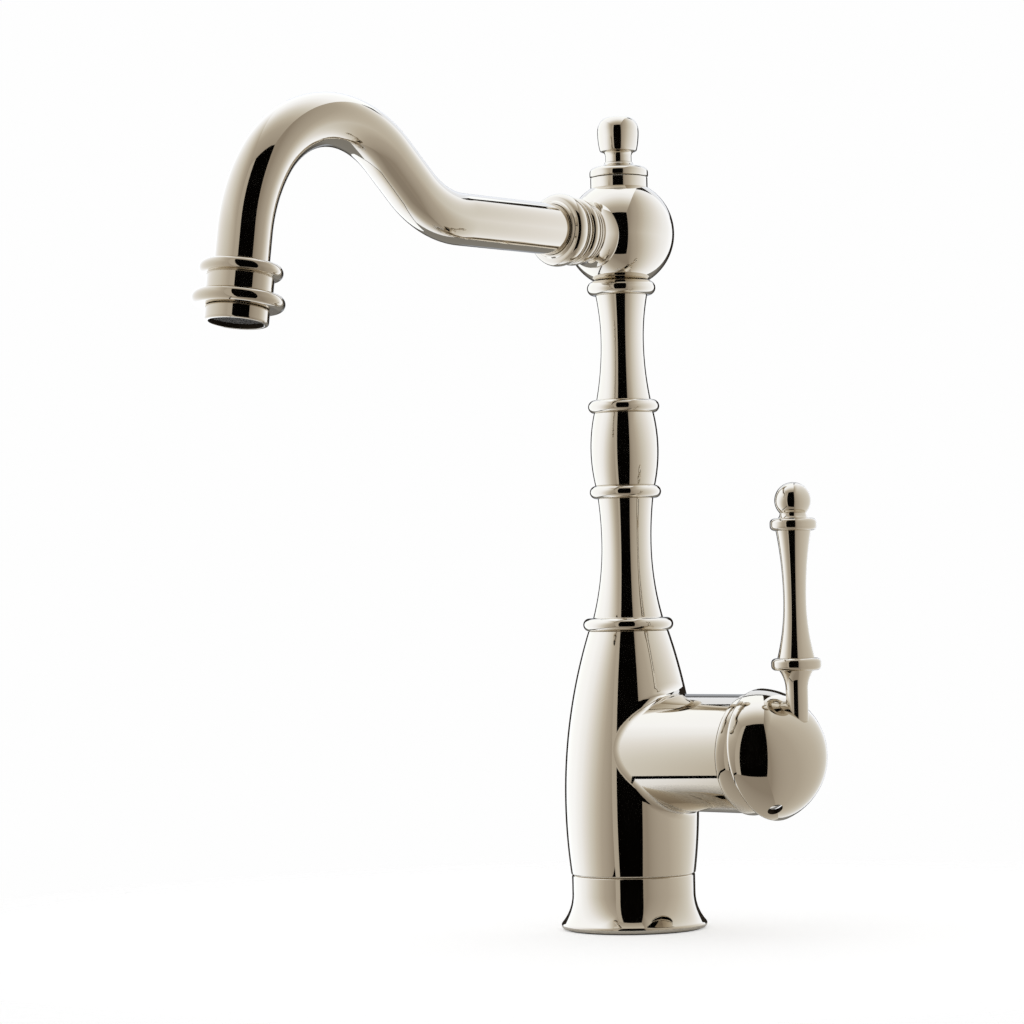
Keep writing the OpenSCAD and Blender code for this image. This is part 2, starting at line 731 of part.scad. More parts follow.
module cartridge_gasket() {
    color(rubber) difference() {
        on_barrel(seat_x) cylinder(d = port_gasket_d, h = port_gasket_t);
        at_ports(seat_x - past) cylinder(d = port_d + 0.6, h = port_gasket_t + 2 * past);
    }
}

module cartridge_base() {
    color(dark_plastic) difference() {
        on_barrel(base_back) cylinder(d = cartridge_d, h = base_t);
        on_barrel(seat_x) cylinder(r = port_gasket_d / 2 + slip_gap, h = port_gasket_t + slip_gap);
        at_ports(seat_x) cylinder(d = port_d, h = base_t + 3 * past);
    }
}

module cartridge_housing() {
    color(plastic) on_barrel() {
        ring(cartridge_d / 2, housing_bore_d / 2, disc_back + slip_gap, lip_back);
        ring(cartridge_d / 2, carrier_d / 2 + running_gap, lip_back, housing_front_x);
    }
}

module fixed_disc() {
    color(ceramic) difference() {
        on_barrel(disc_back + slip_gap / 2)
            cylinder(d = fixed_disc_d, h = fixed_disc_t - slip_gap / 2);
        at_ports(disc_back - past) cylinder(d = port_d, h = fixed_disc_t + 2 * past);
    }
}

module cartridge_nut() {
    notch = 3;
    color(brass) on_barrel() difference() {
        ring(bonnet_thread_d / 2 - slip_gap, carrier_d / 2 + 0.6, nut_back, nut_front);
        for (turn = [45:90:315]) rotate([0, 0, turn])
            translate([bonnet_thread_d / 2 - notch, -notch / 2, nut_front - notch])
                cube([2 * notch, notch, 2 * notch]);
    }
}

module bonnet() {
    back = barrel_reach + slip_gap;
    // The ball starts where it is as wide as the band
    from = acos(bonnet_band_r / bonnet_ball_r);
    to = asin((bonnet_front_x - pivot_x) / bonnet_ball_r);
    edge = 0.3;
    thread_r = bonnet_thread_d / 2 - slip_gap;
    color(nickel) on_barrel() difference() {
        turned(concat([[thread_r, nut_front + slip_gap], [thread_r, back],
            [bonnet_band_r - edge, back], [bonnet_band_r, back + edge]],
            arc([0, pivot_x], bonnet_ball_r, from, to, 16)), bonnet_mouth_d / 2);
        ring(bonnet_thread_d / 2 - 2, bonnet_mouth_d / 2 - past, nut_front + 2, bonnet_front_x - 2.4);
    }
}

// Turns with the lever inside the housing and holds the pivot pin
module stem_carrier() {
    slot_w = spindle_d + 2 * turn_gap;
    slot_h = 17;
    rib_w = 2.6;
    color(plastic) difference() {
        on_barrel() union() {
            translate([0, 0, carrier_back]) cylinder(d = carrier_d, h = carrier_front_x - carrier_back);
            translate([0, 0, carrier_back])
                cylinder(d = housing_bore_d - 2 * turn_gap, h = lip_back - turn_gap - carrier_back);
        }
        translate([carrier_back - past, -slot_w / 2, barrel_z - slot_h / 2])
            cube([carrier_front_x - carrier_back + 2 * past, slot_w, slot_h]);
        for (side = [-1, 1])
            translate([carrier_back - past, side * 9 - rib_w / 2, barrel_z - housing_bore_d / 2])
                cube([past + 1.8, rib_w, housing_bore_d]);
        translate([pivot_x, 0, barrel_z]) rotate([90, 0, 0])
            cylinder(r = pivot_pin_d / 2 + running_gap, h = pivot_pin_l + 2 * slip_gap, center = true);
    }
}

module pivot_pin() {
    color(steel) translate([pivot_x, 0, barrel_z]) rotate([90, 0, 0])
        cylinder(d = pivot_pin_d, h = pivot_pin_l, center = true);
}

// Slides up on the fixed disc when the lever opens the water
module moving_disc() {
    pocket_h = 1.8;
    color(ceramic) on_barrel(moving_back) translate([disc_rise / 2, 0, 0]) difference() {
        cylinder(d = moving_disc_d, h = moving_disc_t);
        for (side = [-1, 1]) translate([side * disc_rise / 2, 0, -past])
            cylinder(r = pocket_r, h = past + pocket_h);
        translate([-disc_rise / 2, -pocket_r, -past]) cube([disc_rise, 2 * pocket_r, past + pocket_h]);
    }
}

module disc_driver() {
    plate_t = 3;
    color(dark_plastic) difference() {
        union() {
            on_barrel(driver_back) translate([disc_rise / 2, 0, 0])
                cylinder(d = moving_disc_d - 2, h = plate_t);
            on_barrel(driver_back) cylinder(d = 14, h = driver_front - driver_back);
            for (side = [-1, 1]) translate([driver_back, side * 9 - 1, barrel_z - disc_rise / 2 - 5])
                cube([carrier_back + 1.5 - driver_back, 2, 10]);
        }
        on_barrel(ball_end_x - 4) cylinder(r = ball_end_d / 2 + socket_gap, h = 4 + driver_front);
    }
}

module spindle() {
    flat = spindle_d / 2 - 0.8;
    eye_back = pivot_x - 4;
    color(steel) difference() {
        union() {
            translate([ball_end_x, 0, barrel_z]) sphere(d = ball_end_d);
            on_barrel(ball_end_x) cylinder(d = ball_end_d - 2, h = inner_arm);
            on_barrel(eye_back)
                cylinder(d = spindle_d, h = boss_back_x + spindle_hole_l - slip_gap - eye_back);
        }
        translate([pivot_x, 0, barrel_z]) rotate([90, 0, 0])
            cylinder(r = pivot_pin_d / 2 + running_gap, h = 2 * spindle_d, center = true);
        // Flat that the set screw presses on
        at_set_screw() translate([-spindle_d, -spindle_d, flat]) cube(2 * spindle_d);
    }
}

// The set screw's place: pressing on the spindle from below, seen from the front
module at_set_screw() {
    translate([boss_back_x + set_screw_d / 2 + 0.4, 0, barrel_z])
        rotate([180 - set_screw_angle, 0, 0]) children();
}

module set_screw() {
    socket_w = 2.5;
    color(steel) at_set_screw() translate([0, 0, spindle_d / 2 - 0.8 + slip_gap / 2]) difference() {
        cylinder(d = set_screw_d, h = set_screw_l);
        translate([0, 0, set_screw_l - 1.8]) cylinder(d = socket_w / cos(30), h = 2 + past, $fn = 6);
    }
}

// Places a piece that is modelled along +Z on the dome's sloping axis
module in_dome() {
    translate([dome_x, 0, barrel_z]) rotate([0, 90 - dome_rim_tilt, 0]) children();
}

// Radius of the dome's hollow at a distance ahead of its rim
function hollow_r(l) = (dome_r - dome_wall) * sqrt(1 - pow((l + dome_back) / hollow_l, 2));

// The dome's outside as a solid, made larger by a gap
module dome_solid(gap = 0) {
    // The rim is rounded from the dome's own slope there to the edge of its hollow
    widest = dome_r * sqrt(1 - pow(dome_back / dome_l, 2));
    slope = atan(dome_back * pow(dome_r / dome_l, 2) / widest);
    rim = [widest - dome_rim_r * cos(slope), -dome_rim_r * sin(slope)];
    meet = acos((hollow_r(-dome_rim_r) - rim[0]) / dome_rim_r);
    in_dome() rotate_extrude() polygon(concat([[0, rim[1] - dome_rim_r * sin(meet)]],
        arc(rim, dome_rim_r + gap, -meet, slope),
        quarter([0, -dome_back], dome_r + gap, dome_l + gap, asin(dome_back / dome_l) + 1, 90, 28)));
}

module handle_dome() {
    hollow_back = 2 * dome_rim_r;
    color(nickel) difference() {
        dome_solid();
        difference() {
            in_dome() rotate_extrude() polygon(concat([[0, -hollow_back]],
                quarter([0, -dome_back], dome_r - dome_wall, hollow_l,
                    asin((dome_back - hollow_back) / hollow_l), 90, 24)));
            on_barrel(boss_back_x) cylinder(d = spindle_boss_d, h = dome_l);
            translate([lever_x, 0, barrel_z]) cylinder(r = stud_d / 2 + 2.6, h = dome_r);
        }
        on_barrel(boss_back_x - past) cylinder(r = spindle_d / 2 + slip_gap, h = past + spindle_hole_l);
        translate([lever_x, 0, lever_foot_z - stud_l - slip_gap])
            cylinder(r = stud_d / 2 + slip_gap, h = dome_r);
        at_set_screw() {
            cylinder(r = set_screw_d / 2 + slip_gap, h = spindle_boss_d);
            translate([0, 0, spindle_boss_d / 2 + past]) cylinder(d = set_screw_hole_d, h = dome_r);
        }
    }
}

module lever_stem() {
    flare_z = lever_bead_z - lever_flare_h;
    color(nickel) translate([lever_x, 0, 0]) difference() {
        union() {
            difference() {
                turned(concat([[lever_stem_d / 2, barrel_z + 6]],
                    [for (i = [0:12]) let (z = flare_z + (lever_bead_z - flare_z) * i / 12)
                        [swept_r(lever_stem_d / 2, flare_z, lever_stem_top_d / 2, lever_bead_z, z), z]],
                    bead(lever_bead_d / 2, lever_bead_h, lever_bead_z)), 0);
                translate([-lever_x, 0, 0]) dome_solid(slip_gap / 2);
            }
            translate([0, 0, lever_foot_z - stud_l]) cylinder(d = stud_d, h = stud_l + 6);
        }
        translate([0, 0, grip_z - stud_l - slip_gap]) cylinder(r = stud_d / 2 + slip_gap, h = stud_l + past);
    }
}

module lever_grip() {
    color(nickel) translate([lever_x, 0, 0]) difference() {
        union() {
            turned(shaft(grip_base_d / 2, grip_z, grip_waist_d / 2, grip_z + grip_waist_h,
                grip_top_d / 2, grip_top_z, 14), 0);
            translate([0, 0, grip_z - stud_l]) cylinder(d = stud_d, h = stud_l + past);
        }
        translate([0, 0, grip_top_z - stud_l - slip_gap])
            cylinder(r = stud_d / 2 + slip_gap, h = stud_l + past);
    }
}

module lever_knob() {
    neck_z = grip_top_z + lever_bead_h;
    color(nickel) translate([lever_x, 0, 0]) {
        turned(bead(lever_top_bead_d / 2, lever_bead_h, grip_top_z), 0);
        translate([0, 0, neck_z - past]) cylinder(d = knob_neck_d, h = knob_rise);
        translate([0, 0, neck_z + knob_rise]) sphere(d = knob_d);
        translate([0, 0, grip_top_z - stud_l]) cylinder(d = stud_d, h = stud_l + past);
    }
}

// Ball that turns on the post, with the spout's foot and its threaded spigot
module spout_hub() {
    foot_r = spout_foot_d / 2;
    neck_r = foot_r - 3;
    color(nickel) difference() {
        union() {
            translate([0, 0, ball_z]) sphere(d = ball_d);
            translate([0, 0, ball_z]) cylinder(d = ball_collar_d, h = ball_collar_h);
            on_spout() turned(concat([[foot_r, 10]],
                [for (i = [0:10]) let (s = foot_start + (foot_end - 0.5 - foot_start) * i / 10)
                    [swept_r(neck_r, foot_end - 0.5, foot_r, foot_start, s), s]],
                [[neck_r, foot_end], [hub_spigot_d / 2, foot_end], [hub_spigot_d / 2, hub_end]]), 0);
        }
        translate([0, 0, ball_base_z - ball_d]) cylinder(d = 2 * ball_d, h = ball_d);
        translate([0, 0, ball_base_z - past]) cylinder(r = post_d / 2 + running_gap, h = ball_d);
        translate([0, 0, ball_z - 8]) cylinder(r = post_d / 2 + 4, h = 16);
        on_spout(post_d / 2) cylinder(r = spout_bore_r, h = spout_start);
    }
}

// Ring between the foot and the nut
module lock_ring() {
    bore_r = hub_spigot_d / 2 + slip_gap;
    color(nickel) on_spout(lock_ring_start) turned(quarter([bore_r + 0.3, lock_ring_l / 2],
        lock_ring_d / 2 - bore_r - 0.3, lock_ring_l / 2, -90, 90, 14), bore_r);
}

module spout_nut() {
    bore_r = hub_spigot_d / 2 + slip_gap;
    bead_l = union_l - 1.3;
    side_r = bore_r + 0.7;
    color(nickel) on_spout(union_start) difference() {
        turned(concat(quarter([side_r, bead_l / 2], union_d / 2 - side_r, bead_l / 2, -90, 80, 16),
            [[spout_d / 2 + 1.2, union_l]]), spout_d / 2 + slip_gap);
        translate([0, 0, -past])
            cylinder(r = bore_r, h = past + spout_start + spout_flange_t + slip_gap - union_start);
    }
}

module spout_gasket() {
    color(rubber) on_spout() ring(hub_spigot_d / 2 - slip_gap, spout_bore_r + slip_gap,
        hub_end + slip_gap, spout_start - slip_gap);
}

// A solid pipe along the spout's centre line, from step i on, heading along +X.
// A thinner core ties each step to the next.
module pipe(r, i = 0) {
    if (i < len(spout_steps)) {
        run = spout_steps[i][0];
        bend_r = spout_steps[i][1];
        a = spout_steps[i][2];
        if (a == 0) rotate([0, 90, 0]) cylinder(r = r, h = run);
        if (i > 0) rotate([0, 90, 0]) cylinder(r = r - 0.5, h = 2, center = true);
        if (a > 0) translate([0, 0, bend_r]) rotate([90, 90, 0])
            rotate_extrude(angle = a) translate([bend_r, 0]) circle(r = r);
        if (a < 0) translate([0, 0, -bend_r]) rotate([-90, -90, 0])
            rotate_extrude(angle = -a) translate([bend_r, 0]) circle(r = r);
        past_step(i) pipe(r, i + 1);
    }
}

// Moves from the start of step i to its end
module past_step(i) {
    bend_r = spout_steps[i][1];
    a = spout_steps[i][2];
    translate([spout_steps[i][0] + bend_r * sin(abs(a)), 0, sign(a) * bend_r * (1 - cos(a))])
        rotate([0, -a, 0]) children();
}

// Places a piece that is modelled along +Z at the end of the spout's centre line
module at_pipe_end(i = 0) {
    if (i < len(spout_steps)) past_step(i) at_pipe_end(i + 1) children();
    else rotate([0, 90, 0]) children();
}

module at_pipe_start() {
    translate([0, -spout_start, spout_z]) rotate([0, 0, -90]) children();
}

module at_outlet() {
    at_pipe_start() at_pipe_end() children();
}

module spout_tube() {
    color(nickel) difference() {
        union() {
            at_pipe_start() pipe(spout_d / 2);
            at_outlet() cylinder(d = spout_d, h = outlet_socket_l);
            on_spout(spout_start) cylinder(r = hub_spigot_d / 2 - slip_gap, h = spout_flange_t);
        }
        at_pipe_start() pipe(spout_bore_r);
        on_spout(spout_start - past) cylinder(r = spout_bore_r, h = 2 * past);
        at_outlet() translate([0, 0, -past]) cylinder(r = spout_bore_r, h = outlet_socket_l + 2 * past);
    }
}

module outlet_collar() {
    neck_end = outlet_bead_h + outlet_neck_l;
    color(nickel) at_outlet() difference() {
        turned(concat(bead(outlet_bead_d / 2, outlet_bead_h, 0),
            [[outlet_neck_d / 2, outlet_bead_h], [outlet_neck_d / 2, neck_end]],
            bead(outlet_rim_d / 2, outlet_rim_h, neck_end)), spout_bore_r);
        translate([0, 0, -past]) cylinder(r = spout_d / 2 + slip_gap, h = past + outlet_socket_l + slip_gap);
        translate([0, 0, thread_start]) cylinder(r = aerator_thread_d / 2 + slip_gap, h = outlet_l);
    }
}

module aerator_washer() {
    color(rubber) at_outlet() ring(aerator_thread_d / 2 - slip_gap, spout_bore_r - 1,
        thread_start + slip_gap / 2, aerator_back - slip_gap / 2);
}

module aerator_housing() {
    r = aerator_d / 2;
    lip_r = 1;
    color(nickel) at_outlet() turned(concat([[aerator_thread_d / 2, aerator_back],
        [aerator_thread_d / 2, outlet_l + slip_gap], [r - 0.3, outlet_l + slip_gap],
        [r, outlet_l + slip_gap + 0.3]],
        arc([r - lip_r, aerator_end - lip_r], lip_r, 0, 90, 8)), screen_d / 2 + slip_gap);
}

// Plastic insert that mixes air into the water, with a ring of slots in its floor
module aerator_insert() {
    color(dark_plastic) at_outlet() difference() {
        translate([0, 0, aerator_back + 0.5])
            cylinder(d = screen_d, h = screen_start - slip_gap - aerator_back - 0.5);
        translate([0, 0, aerator_back]) cylinder(d = screen_d - 3, h = 3);
        for (turn = [0:30:330]) rotate([0, 0, turn]) translate([screen_d / 2 - 4, 0, aerator_back])
            cylinder(d = 2, h = outlet_l);
        for (turn = [0:60:300]) rotate([0, 0, turn]) translate([screen_d / 2 - 7.6, 0, aerator_back])
            cylinder(d = 2, h = outlet_l);
    }
}

module aerator_screen() {
    pitch = 2.1;
    hole_w = 1.5;
    count = floor((screen_d / 2 - 1.2) / pitch);
    color(steel) at_outlet() translate([0, 0, screen_start]) linear_extrude(0.6) difference() {
        circle(d = screen_d);
        for (i = [-count:count], j = [-count:count]) if (norm([i, j]) * pitch < screen_d / 2 - 1.8)
            translate([i * pitch - hole_w / 2, j * pitch - hole_w / 2]) square(hole_w);
    }
}

deck_gasket();
base_flange();
valve_body();
column_lower();
column_middle();
column_upper();
riser_tube();
riser_seals();
swivel_seat();
swivel_post();
post_seals();
swivel_washers();
finial_cap();
finial();
cartridge_gasket();
cartridge_base();
cartridge_housing();
fixed_disc();
cartridge_nut();
bonnet();
stem_carrier();
pivot_pin();
moving_disc();
disc_driver();
spindle();
handle_dome();
set_screw();
lever_stem();
lever_grip();
lever_knob();
spout_hub();
lock_ring();
spout_nut();
spout_gasket();
spout_tube();
outlet_collar();
aerator_washer();
aerator_housing();
aerator_insert();
aerator_screen();
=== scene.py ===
"""The gooseneck bar faucet in polished nickel, dressed over its CAD frame and lit in a soft white tent."""

import math

import bpy
import numpy as np
from mathutils import Matrix


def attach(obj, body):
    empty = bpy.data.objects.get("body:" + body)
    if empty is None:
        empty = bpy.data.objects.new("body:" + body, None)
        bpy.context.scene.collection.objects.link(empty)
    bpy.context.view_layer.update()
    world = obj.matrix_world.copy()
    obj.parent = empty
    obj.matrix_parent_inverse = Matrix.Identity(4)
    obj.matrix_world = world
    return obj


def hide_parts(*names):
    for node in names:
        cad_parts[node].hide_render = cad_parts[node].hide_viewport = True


MM = 0.001

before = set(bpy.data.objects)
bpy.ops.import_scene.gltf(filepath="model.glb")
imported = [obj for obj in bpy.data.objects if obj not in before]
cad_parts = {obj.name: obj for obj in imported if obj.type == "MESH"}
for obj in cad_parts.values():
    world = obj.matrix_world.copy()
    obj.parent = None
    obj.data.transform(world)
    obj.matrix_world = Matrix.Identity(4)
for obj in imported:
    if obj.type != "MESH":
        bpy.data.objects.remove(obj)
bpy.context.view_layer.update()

# ---------------------------------------------------------------- camera at the photograph's angle

VIEW_TURN = math.radians(39.5)  # the faucet's spout and lever lie symmetric about this direction
ACROSS = np.array([math.cos(VIEW_TURN), math.sin(VIEW_TURN), 0.0])
TOWARDS = np.array([math.sin(VIEW_TURN), -math.cos(VIEW_TURN), 0.0])
UP = np.array([0.0, 0.0, 1.0])


def photo_camera(distance=1441.56, height=145.82, pitch=1.559, yaw=2.007, roll=-1.156, lens=114.26):
    """The camera fitted to the photograph: millimetres, and degrees off the line to the column."""
    pitch, yaw, roll = (math.radians(a) for a in (pitch, yaw, roll))
    # Its directions as shares of ACROSS, TOWARDS and UP
    ahead = np.array([-math.sin(yaw) * math.cos(pitch), -math.cos(yaw) * math.cos(pitch), math.sin(pitch)])
    right = np.array([math.cos(yaw), -math.sin(yaw), 0.0])
    basis = np.array([ACROSS, TOWARDS, UP])
    ahead, right = ahead @ basis, right @ basis
    top = np.cross(right, ahead)
    right, top = (math.cos(roll) * right + math.sin(roll) * top,
                  math.cos(roll) * top - math.sin(roll) * right)
    data = bpy.data.cameras.new("photo_camera")
    data.lens, data.sensor_width = lens, 36
    data.clip_start, data.clip_end = 0.05, 50
    cam = bpy.data.objects.new("photo_camera", data)
    turn = Matrix([[right[i], top[i], -ahead[i], 0] for i in range(3)] + [[0, 0, 0, 1]])
    place = (TOWARDS * distance + UP * height) * MM
    cam.matrix_world = Matrix.Translation(place) @ turn
    bpy.context.scene.collection.objects.link(cam)
    bpy.context.scene.camera = cam


photo_camera()

# ---------------------------------------------------------------- colours, nodes and finishes


def linear(hex_colour):
    """sRGB hex as linear red, green, blue and alpha."""
    c = [int(hex_colour.lstrip("#")[i : i + 2], 16) / 255 for i in (0, 2, 4)]
    return [v / 12.92 if v <= 0.04045 else ((v + 0.055) / 1.055) ** 2.4 for v in c] + [1.0]


def add(tree, kind, settings=None, **links):
    """A node of that kind. Settings name properties or sockets, links name sockets and their sources."""
    made = tree.nodes.new(kind)
    for key, value in (settings or {}).items():
        if isinstance(key, int) or key in made.inputs:
            made.inputs[key].default_value = value
        else:
            setattr(made, key, value)
    for key, source in links.items():
        # _0 is the first socket, Some_Name is the socket called Some Name
        socket = made.inputs[int(key[1:])] if key[0] == "_" else made.inputs[key.replace("_", " ")]
        tree.links.new(source, socket)
    return made


def ramp(tree, stops, fac):
    """A colour ramp with (place, linear colour) stops."""
    made = add(tree, "ShaderNodeValToRGB", Fac=fac)
    elements = made.color_ramp.elements
    while len(elements) < len(stops):
        elements.new(0.5)
    for element, (at, colour) in zip(elements, stops):
        element.position = at
    for element, (at, colour) in zip(elements, stops):
        element.color = colour
    return made.outputs["Color"]


CLOUD = 14  # the clouds of the second colour are this many grains wide


def finish_of(name, base, tint, roughness, spread, grain_mm, depth_mm, metallic=0.0, level=0.5,
              stretch=(1, 1, 1)):
    """A finish: two close colours, a roughness that varies by the spread, and a grain of that size."""
    mat = bpy.data.materials.new(name)
    mat.use_nodes = True
    tree = mat.node_tree
    shader = tree.nodes["Principled BSDF"]
    shader.inputs["Metallic"].default_value = metallic
    shader.inputs["Specular IOR Level"].default_value = level
    place = add(tree, "ShaderNodeTexCoord").outputs["Object"]
    stretched = add(tree, "ShaderNodeMapping", {"Scale": stretch}, Vector=place).outputs["Vector"]
    grain = add(tree, "ShaderNodeTexNoise", {"Scale": 1 / (grain_mm * MM), "Detail": 3.0},
                Vector=stretched)
    cloud = add(tree, "ShaderNodeTexNoise", {"Scale": 1 / (CLOUD * grain_mm * MM), "Detail": 2.0},
                Vector=place)
    gloss = add(tree, "ShaderNodeMapRange", {"From Min": 0.25, "From Max": 0.75,
                "To Min": max(roughness - spread, 0.0), "To Max": roughness + spread},
                Value=grain.outputs["Fac"])
    tree.links.new(gloss.outputs["Result"], shader.inputs["Roughness"])
    shade = ramp(tree, [(0.3, linear(base)), (0.7, linear(tint))], cloud.outputs["Fac"])
    tree.links.new(shade, shader.inputs["Base Color"])
    bump = add(tree, "ShaderNodeBump", {"Strength": 1.0, "Distance": depth_mm * MM},
               Height=grain.outputs["Fac"])
    tree.links.new(bump.outputs["Normal"], shader.inputs["Normal"])
    return mat


# Polished nickel plate on turned and cast brass: a warm grey mirror, buffed so finely that only a
# slow waviness and a trace of haze between the buffing marks reach the eye.
NICKEL_HEX = "#DAD2C4"
NICKEL = finish_of("polished_nickel_plate", NICKEL_HEX, "#D8D0C2", roughness=0.035, spread=0.02,
                   grain_mm=7.0, depth_mm=0.004, metallic=1.0)
# The handle's hollow and the outlet's bore: cast brass that the plating and the buffing wheel
# hardly reach, dull; its dark colour is painted shade, standing in for the shade inside them.
HOLLOW_PAINTED_SHADE = finish_of("dull_casting_painted_shade", "#3E372E", "#363029", roughness=0.55, spread=0.08,
                   grain_mm=0.9, depth_mm=0.05, metallic=1.0)
# Turned free-cutting brass, left as machined: yellow, with fine rings from the tool.
BRASS = finish_of("machined_brass", "#C9A552", "#BE9A4A", roughness=0.24, spread=0.06,
                  grain_mm=0.6, depth_mm=0.006, metallic=1.0, stretch=(0.4, 0.4, 3.0))
# Stainless steel, drawn and ground: a cool grey with a fine directional grain.
STEEL = finish_of("ground_stainless_steel", "#B9BCBE", "#ACB0B3", roughness=0.26, spread=0.06,
                  grain_mm=0.4, depth_mm=0.004, metallic=1.0, stretch=(3.0, 0.4, 0.4))
# Woven stainless wire, dulled by water: a darker grey with a soft shine.
WIRE = finish_of("woven_stainless_wire", "#918E88", "#86837D", roughness=0.3, spread=0.05,
                 grain_mm=0.3, depth_mm=0.002, metallic=1.0)
# Moulded EPDM rubber: black, dull, with a soft mould texture.
RUBBER = finish_of("moulded_epdm_rubber", "#26262A", "#2C2C2F", roughness=0.7, spread=0.08,
                   grain_mm=0.5, depth_mm=0.02, level=0.35)
# Moulded acetal: milky white and slightly waxy.
ACETAL = finish_of("moulded_white_acetal", "#E4E2DC", "#DEDCD5", roughness=0.42, spread=0.06,
                   grain_mm=0.8, depth_mm=0.01)
# Moulded glass-filled nylon: dark grey and satin.
NYLON = finish_of("moulded_dark_nylon", "#3A3C40", "#34363A", roughness=0.5, spread=0.08,
                  grain_mm=0.4, depth_mm=0.015)
# Lapped alumina ceramic: white with a soft sheen.
CERAMIC = finish_of("lapped_alumina_ceramic", "#F0EDE6", "#EBE8E0", roughness=0.22, spread=0.04,
                    grain_mm=0.3, depth_mm=0.002)

# ---------------------------------------------------------------- outlines, in millimetres


def arc(centre, rx, start, stop, ry=None, step=4.0):
    """Points of an arc or a part of an ellipse, as (radius, height)."""
    count = max(2, int(math.ceil(abs(stop - start) / step)))
    angles = np.radians(np.linspace(start, stop, count + 1))
    return [(centre[0] + rx * math.cos(a), centre[1] + (ry or rx) * math.sin(a)) for a in angles]


def swept(mid, end, z):
    """Radius at z of an arc that stands upright at mid and passes through end."""
    dr, dz = end[0] - mid[0], end[1] - mid[1]
    radius = (dz * dz + dr * dr) / (2 * abs(dr))
    return mid[0] + math.copysign(radius - math.sqrt(radius**2 - (z - mid[1]) ** 2), dr)


def shaft(foot, waist, head, step=0.8):
    """A shaft that narrows or swells from its foot to its waist and back to its head."""
    low = np.linspace(foot[1], waist[1], max(3, int((waist[1] - foot[1]) / step)))
    high = np.linspace(waist[1], head[1], max(3, int((head[1] - waist[1]) / step)))[1:]
    return [(swept(waist, foot, z), z) for z in low] + [(swept(waist, head, z), z) for z in high]


def bead(diameter, height, z):
    """A half-round bead from height z up."""
    half = height / 2
    return arc((diameter / 2 - half, z + half), half, -90, 90)


def band(diameter, height, z, corner):
    """A flatter bead: a ring whose two edges are rounded."""
    edge = diameter / 2 - corner
    return (arc((edge, z + corner), corner, -90, 0, step=9)
            + arc((edge, z + height - corner), corner, 0, 90, step=9))


def bored(outline, bore):
    """An outline closed on a straight bore."""
    return [(bore, outline[0][1])] + outline + [(bore, outline[-1][1])]


EASE = 0.25  # how far a polished edge is worn back from its corner
SHARP = 14  # degrees of turn from which a point of an outline is a corner


def eased(points, closed, ease=EASE):
    """The outline with every corner rounded a little, as a polished edge is."""
    pts = [np.array(p, float) for p in points]
    pts = [p for i, p in enumerate(pts) if i == 0 or np.linalg.norm(p - pts[i - 1]) > 1e-6]
    if closed and np.linalg.norm(pts[0] - pts[-1]) < 1e-6:
        pts.pop()
    count, out = len(pts), []
    for i, p in enumerate(pts):
        if not closed and i in (0, count - 1):
            out.append(p)
            continue
        a, b = pts[i - 1], pts[(i + 1) % count]
        into, away = (p - a) / np.linalg.norm(p - a), (b - p) / np.linalg.norm(b - p)
        turn = math.degrees(math.acos(max(-1.0, min(1.0, float(into @ away)))))
        if turn < SHARP or not ease:
            out.append(p)
            continue
        # Two corners of one short edge leave a part of it between them
        cut = min(ease, 0.42 * np.linalg.norm(p - a), 0.42 * np.linalg.norm(b - p))
        first, last = p - into * cut, p + away * cut
        out += [(1 - t) ** 2 * first + 2 * t * (1 - t) * p + t * t * last for t in np.linspace(0, 1, 6)]
    return np.array(out)


def outline_normals(pts, closed):
    """A unit normal at each point, to the right of the outline's run from neighbour to neighbour."""
    ahead = np.roll(pts, -1, 0) - pts
    behind = pts - np.roll(pts, 1, 0)
    if not closed:
        ahead[-1], behind[0] = behind[-1], ahead[0]
    run = ahead + behind
    run /= np.linalg.norm(run, axis=1, keepdims=True)
    return np.stack([run[:, 1], -run[:, 0]], 1)


# ---------------------------------------------------------------- surfaces


class Straight:
    """A straight axis: a turned piece's height runs along it."""

    def __init__(self, start=(0, 0, 0), along=(0, 0, 1), side=(1, 0, 0)):
        self.start, self.along, self.side = (np.array(v, float) for v in (start, along, side))
        self.along /= np.linalg.norm(self.along)
        self.other = np.cross(self.along, self.side)

    def at(self, h):
        """Middle, side, other side and direction at each height."""
        h = np.asarray(h)[:, None]
        ones = np.ones_like(h)
        return self.start + h * self.along, ones * self.side, ones * self.other, ones * self.along


class Bent:
    """The spout's centre line in the plane x = 0: steps of (length, bend radius, bend angle up)."""

    def __init__(self, start, heading, steps, pace=1.0):
        p, a = np.array(start, float), math.radians(heading)
        rows, s = [(0.0, *p, a)], 0.0
        for length, radius, angle in steps:
            turn = math.radians(angle)
            run = length if radius == 0 else radius * abs(turn)
            count = max(2, int(math.ceil(run / pace)))
            for i in range(1, count + 1):
                part = i / count
                if radius == 0:
                    q, b = p + length * part * np.array([-math.cos(a), math.sin(a)]), a
                else:
                    b = a + turn * part
                    sign = math.copysign(1, turn)
                    q = p + sign * radius * np.array([-(math.sin(b) - math.sin(a)),
                                                      -(math.cos(b) - math.cos(a))])
                rows.append((s + run * part, *q, b))
            p, a, s = q, b, s + run
        self.rows, self.length = np.array(rows), s

    def at(self, h):
        """Middle, side, other side and direction at each length along the line."""
        s = self.rows[:, 0]
        y, z, a = (np.interp(h, s, self.rows[:, k]) for k in (1, 2, 3))
        zero = np.zeros_like(y)
        along = np.stack([zero, -np.cos(a), np.sin(a)], 1)
        side = np.stack([np.ones_like(y), zero, zero], 1)
        return np.stack([zero, y, z], 1), side, np.cross(along, side), along

    def end(self, h):
        """The straight axis that goes on from there."""
        p, side, _, along = self.at(np.array([h]))
        return Straight(p[0], along[0], side[0])


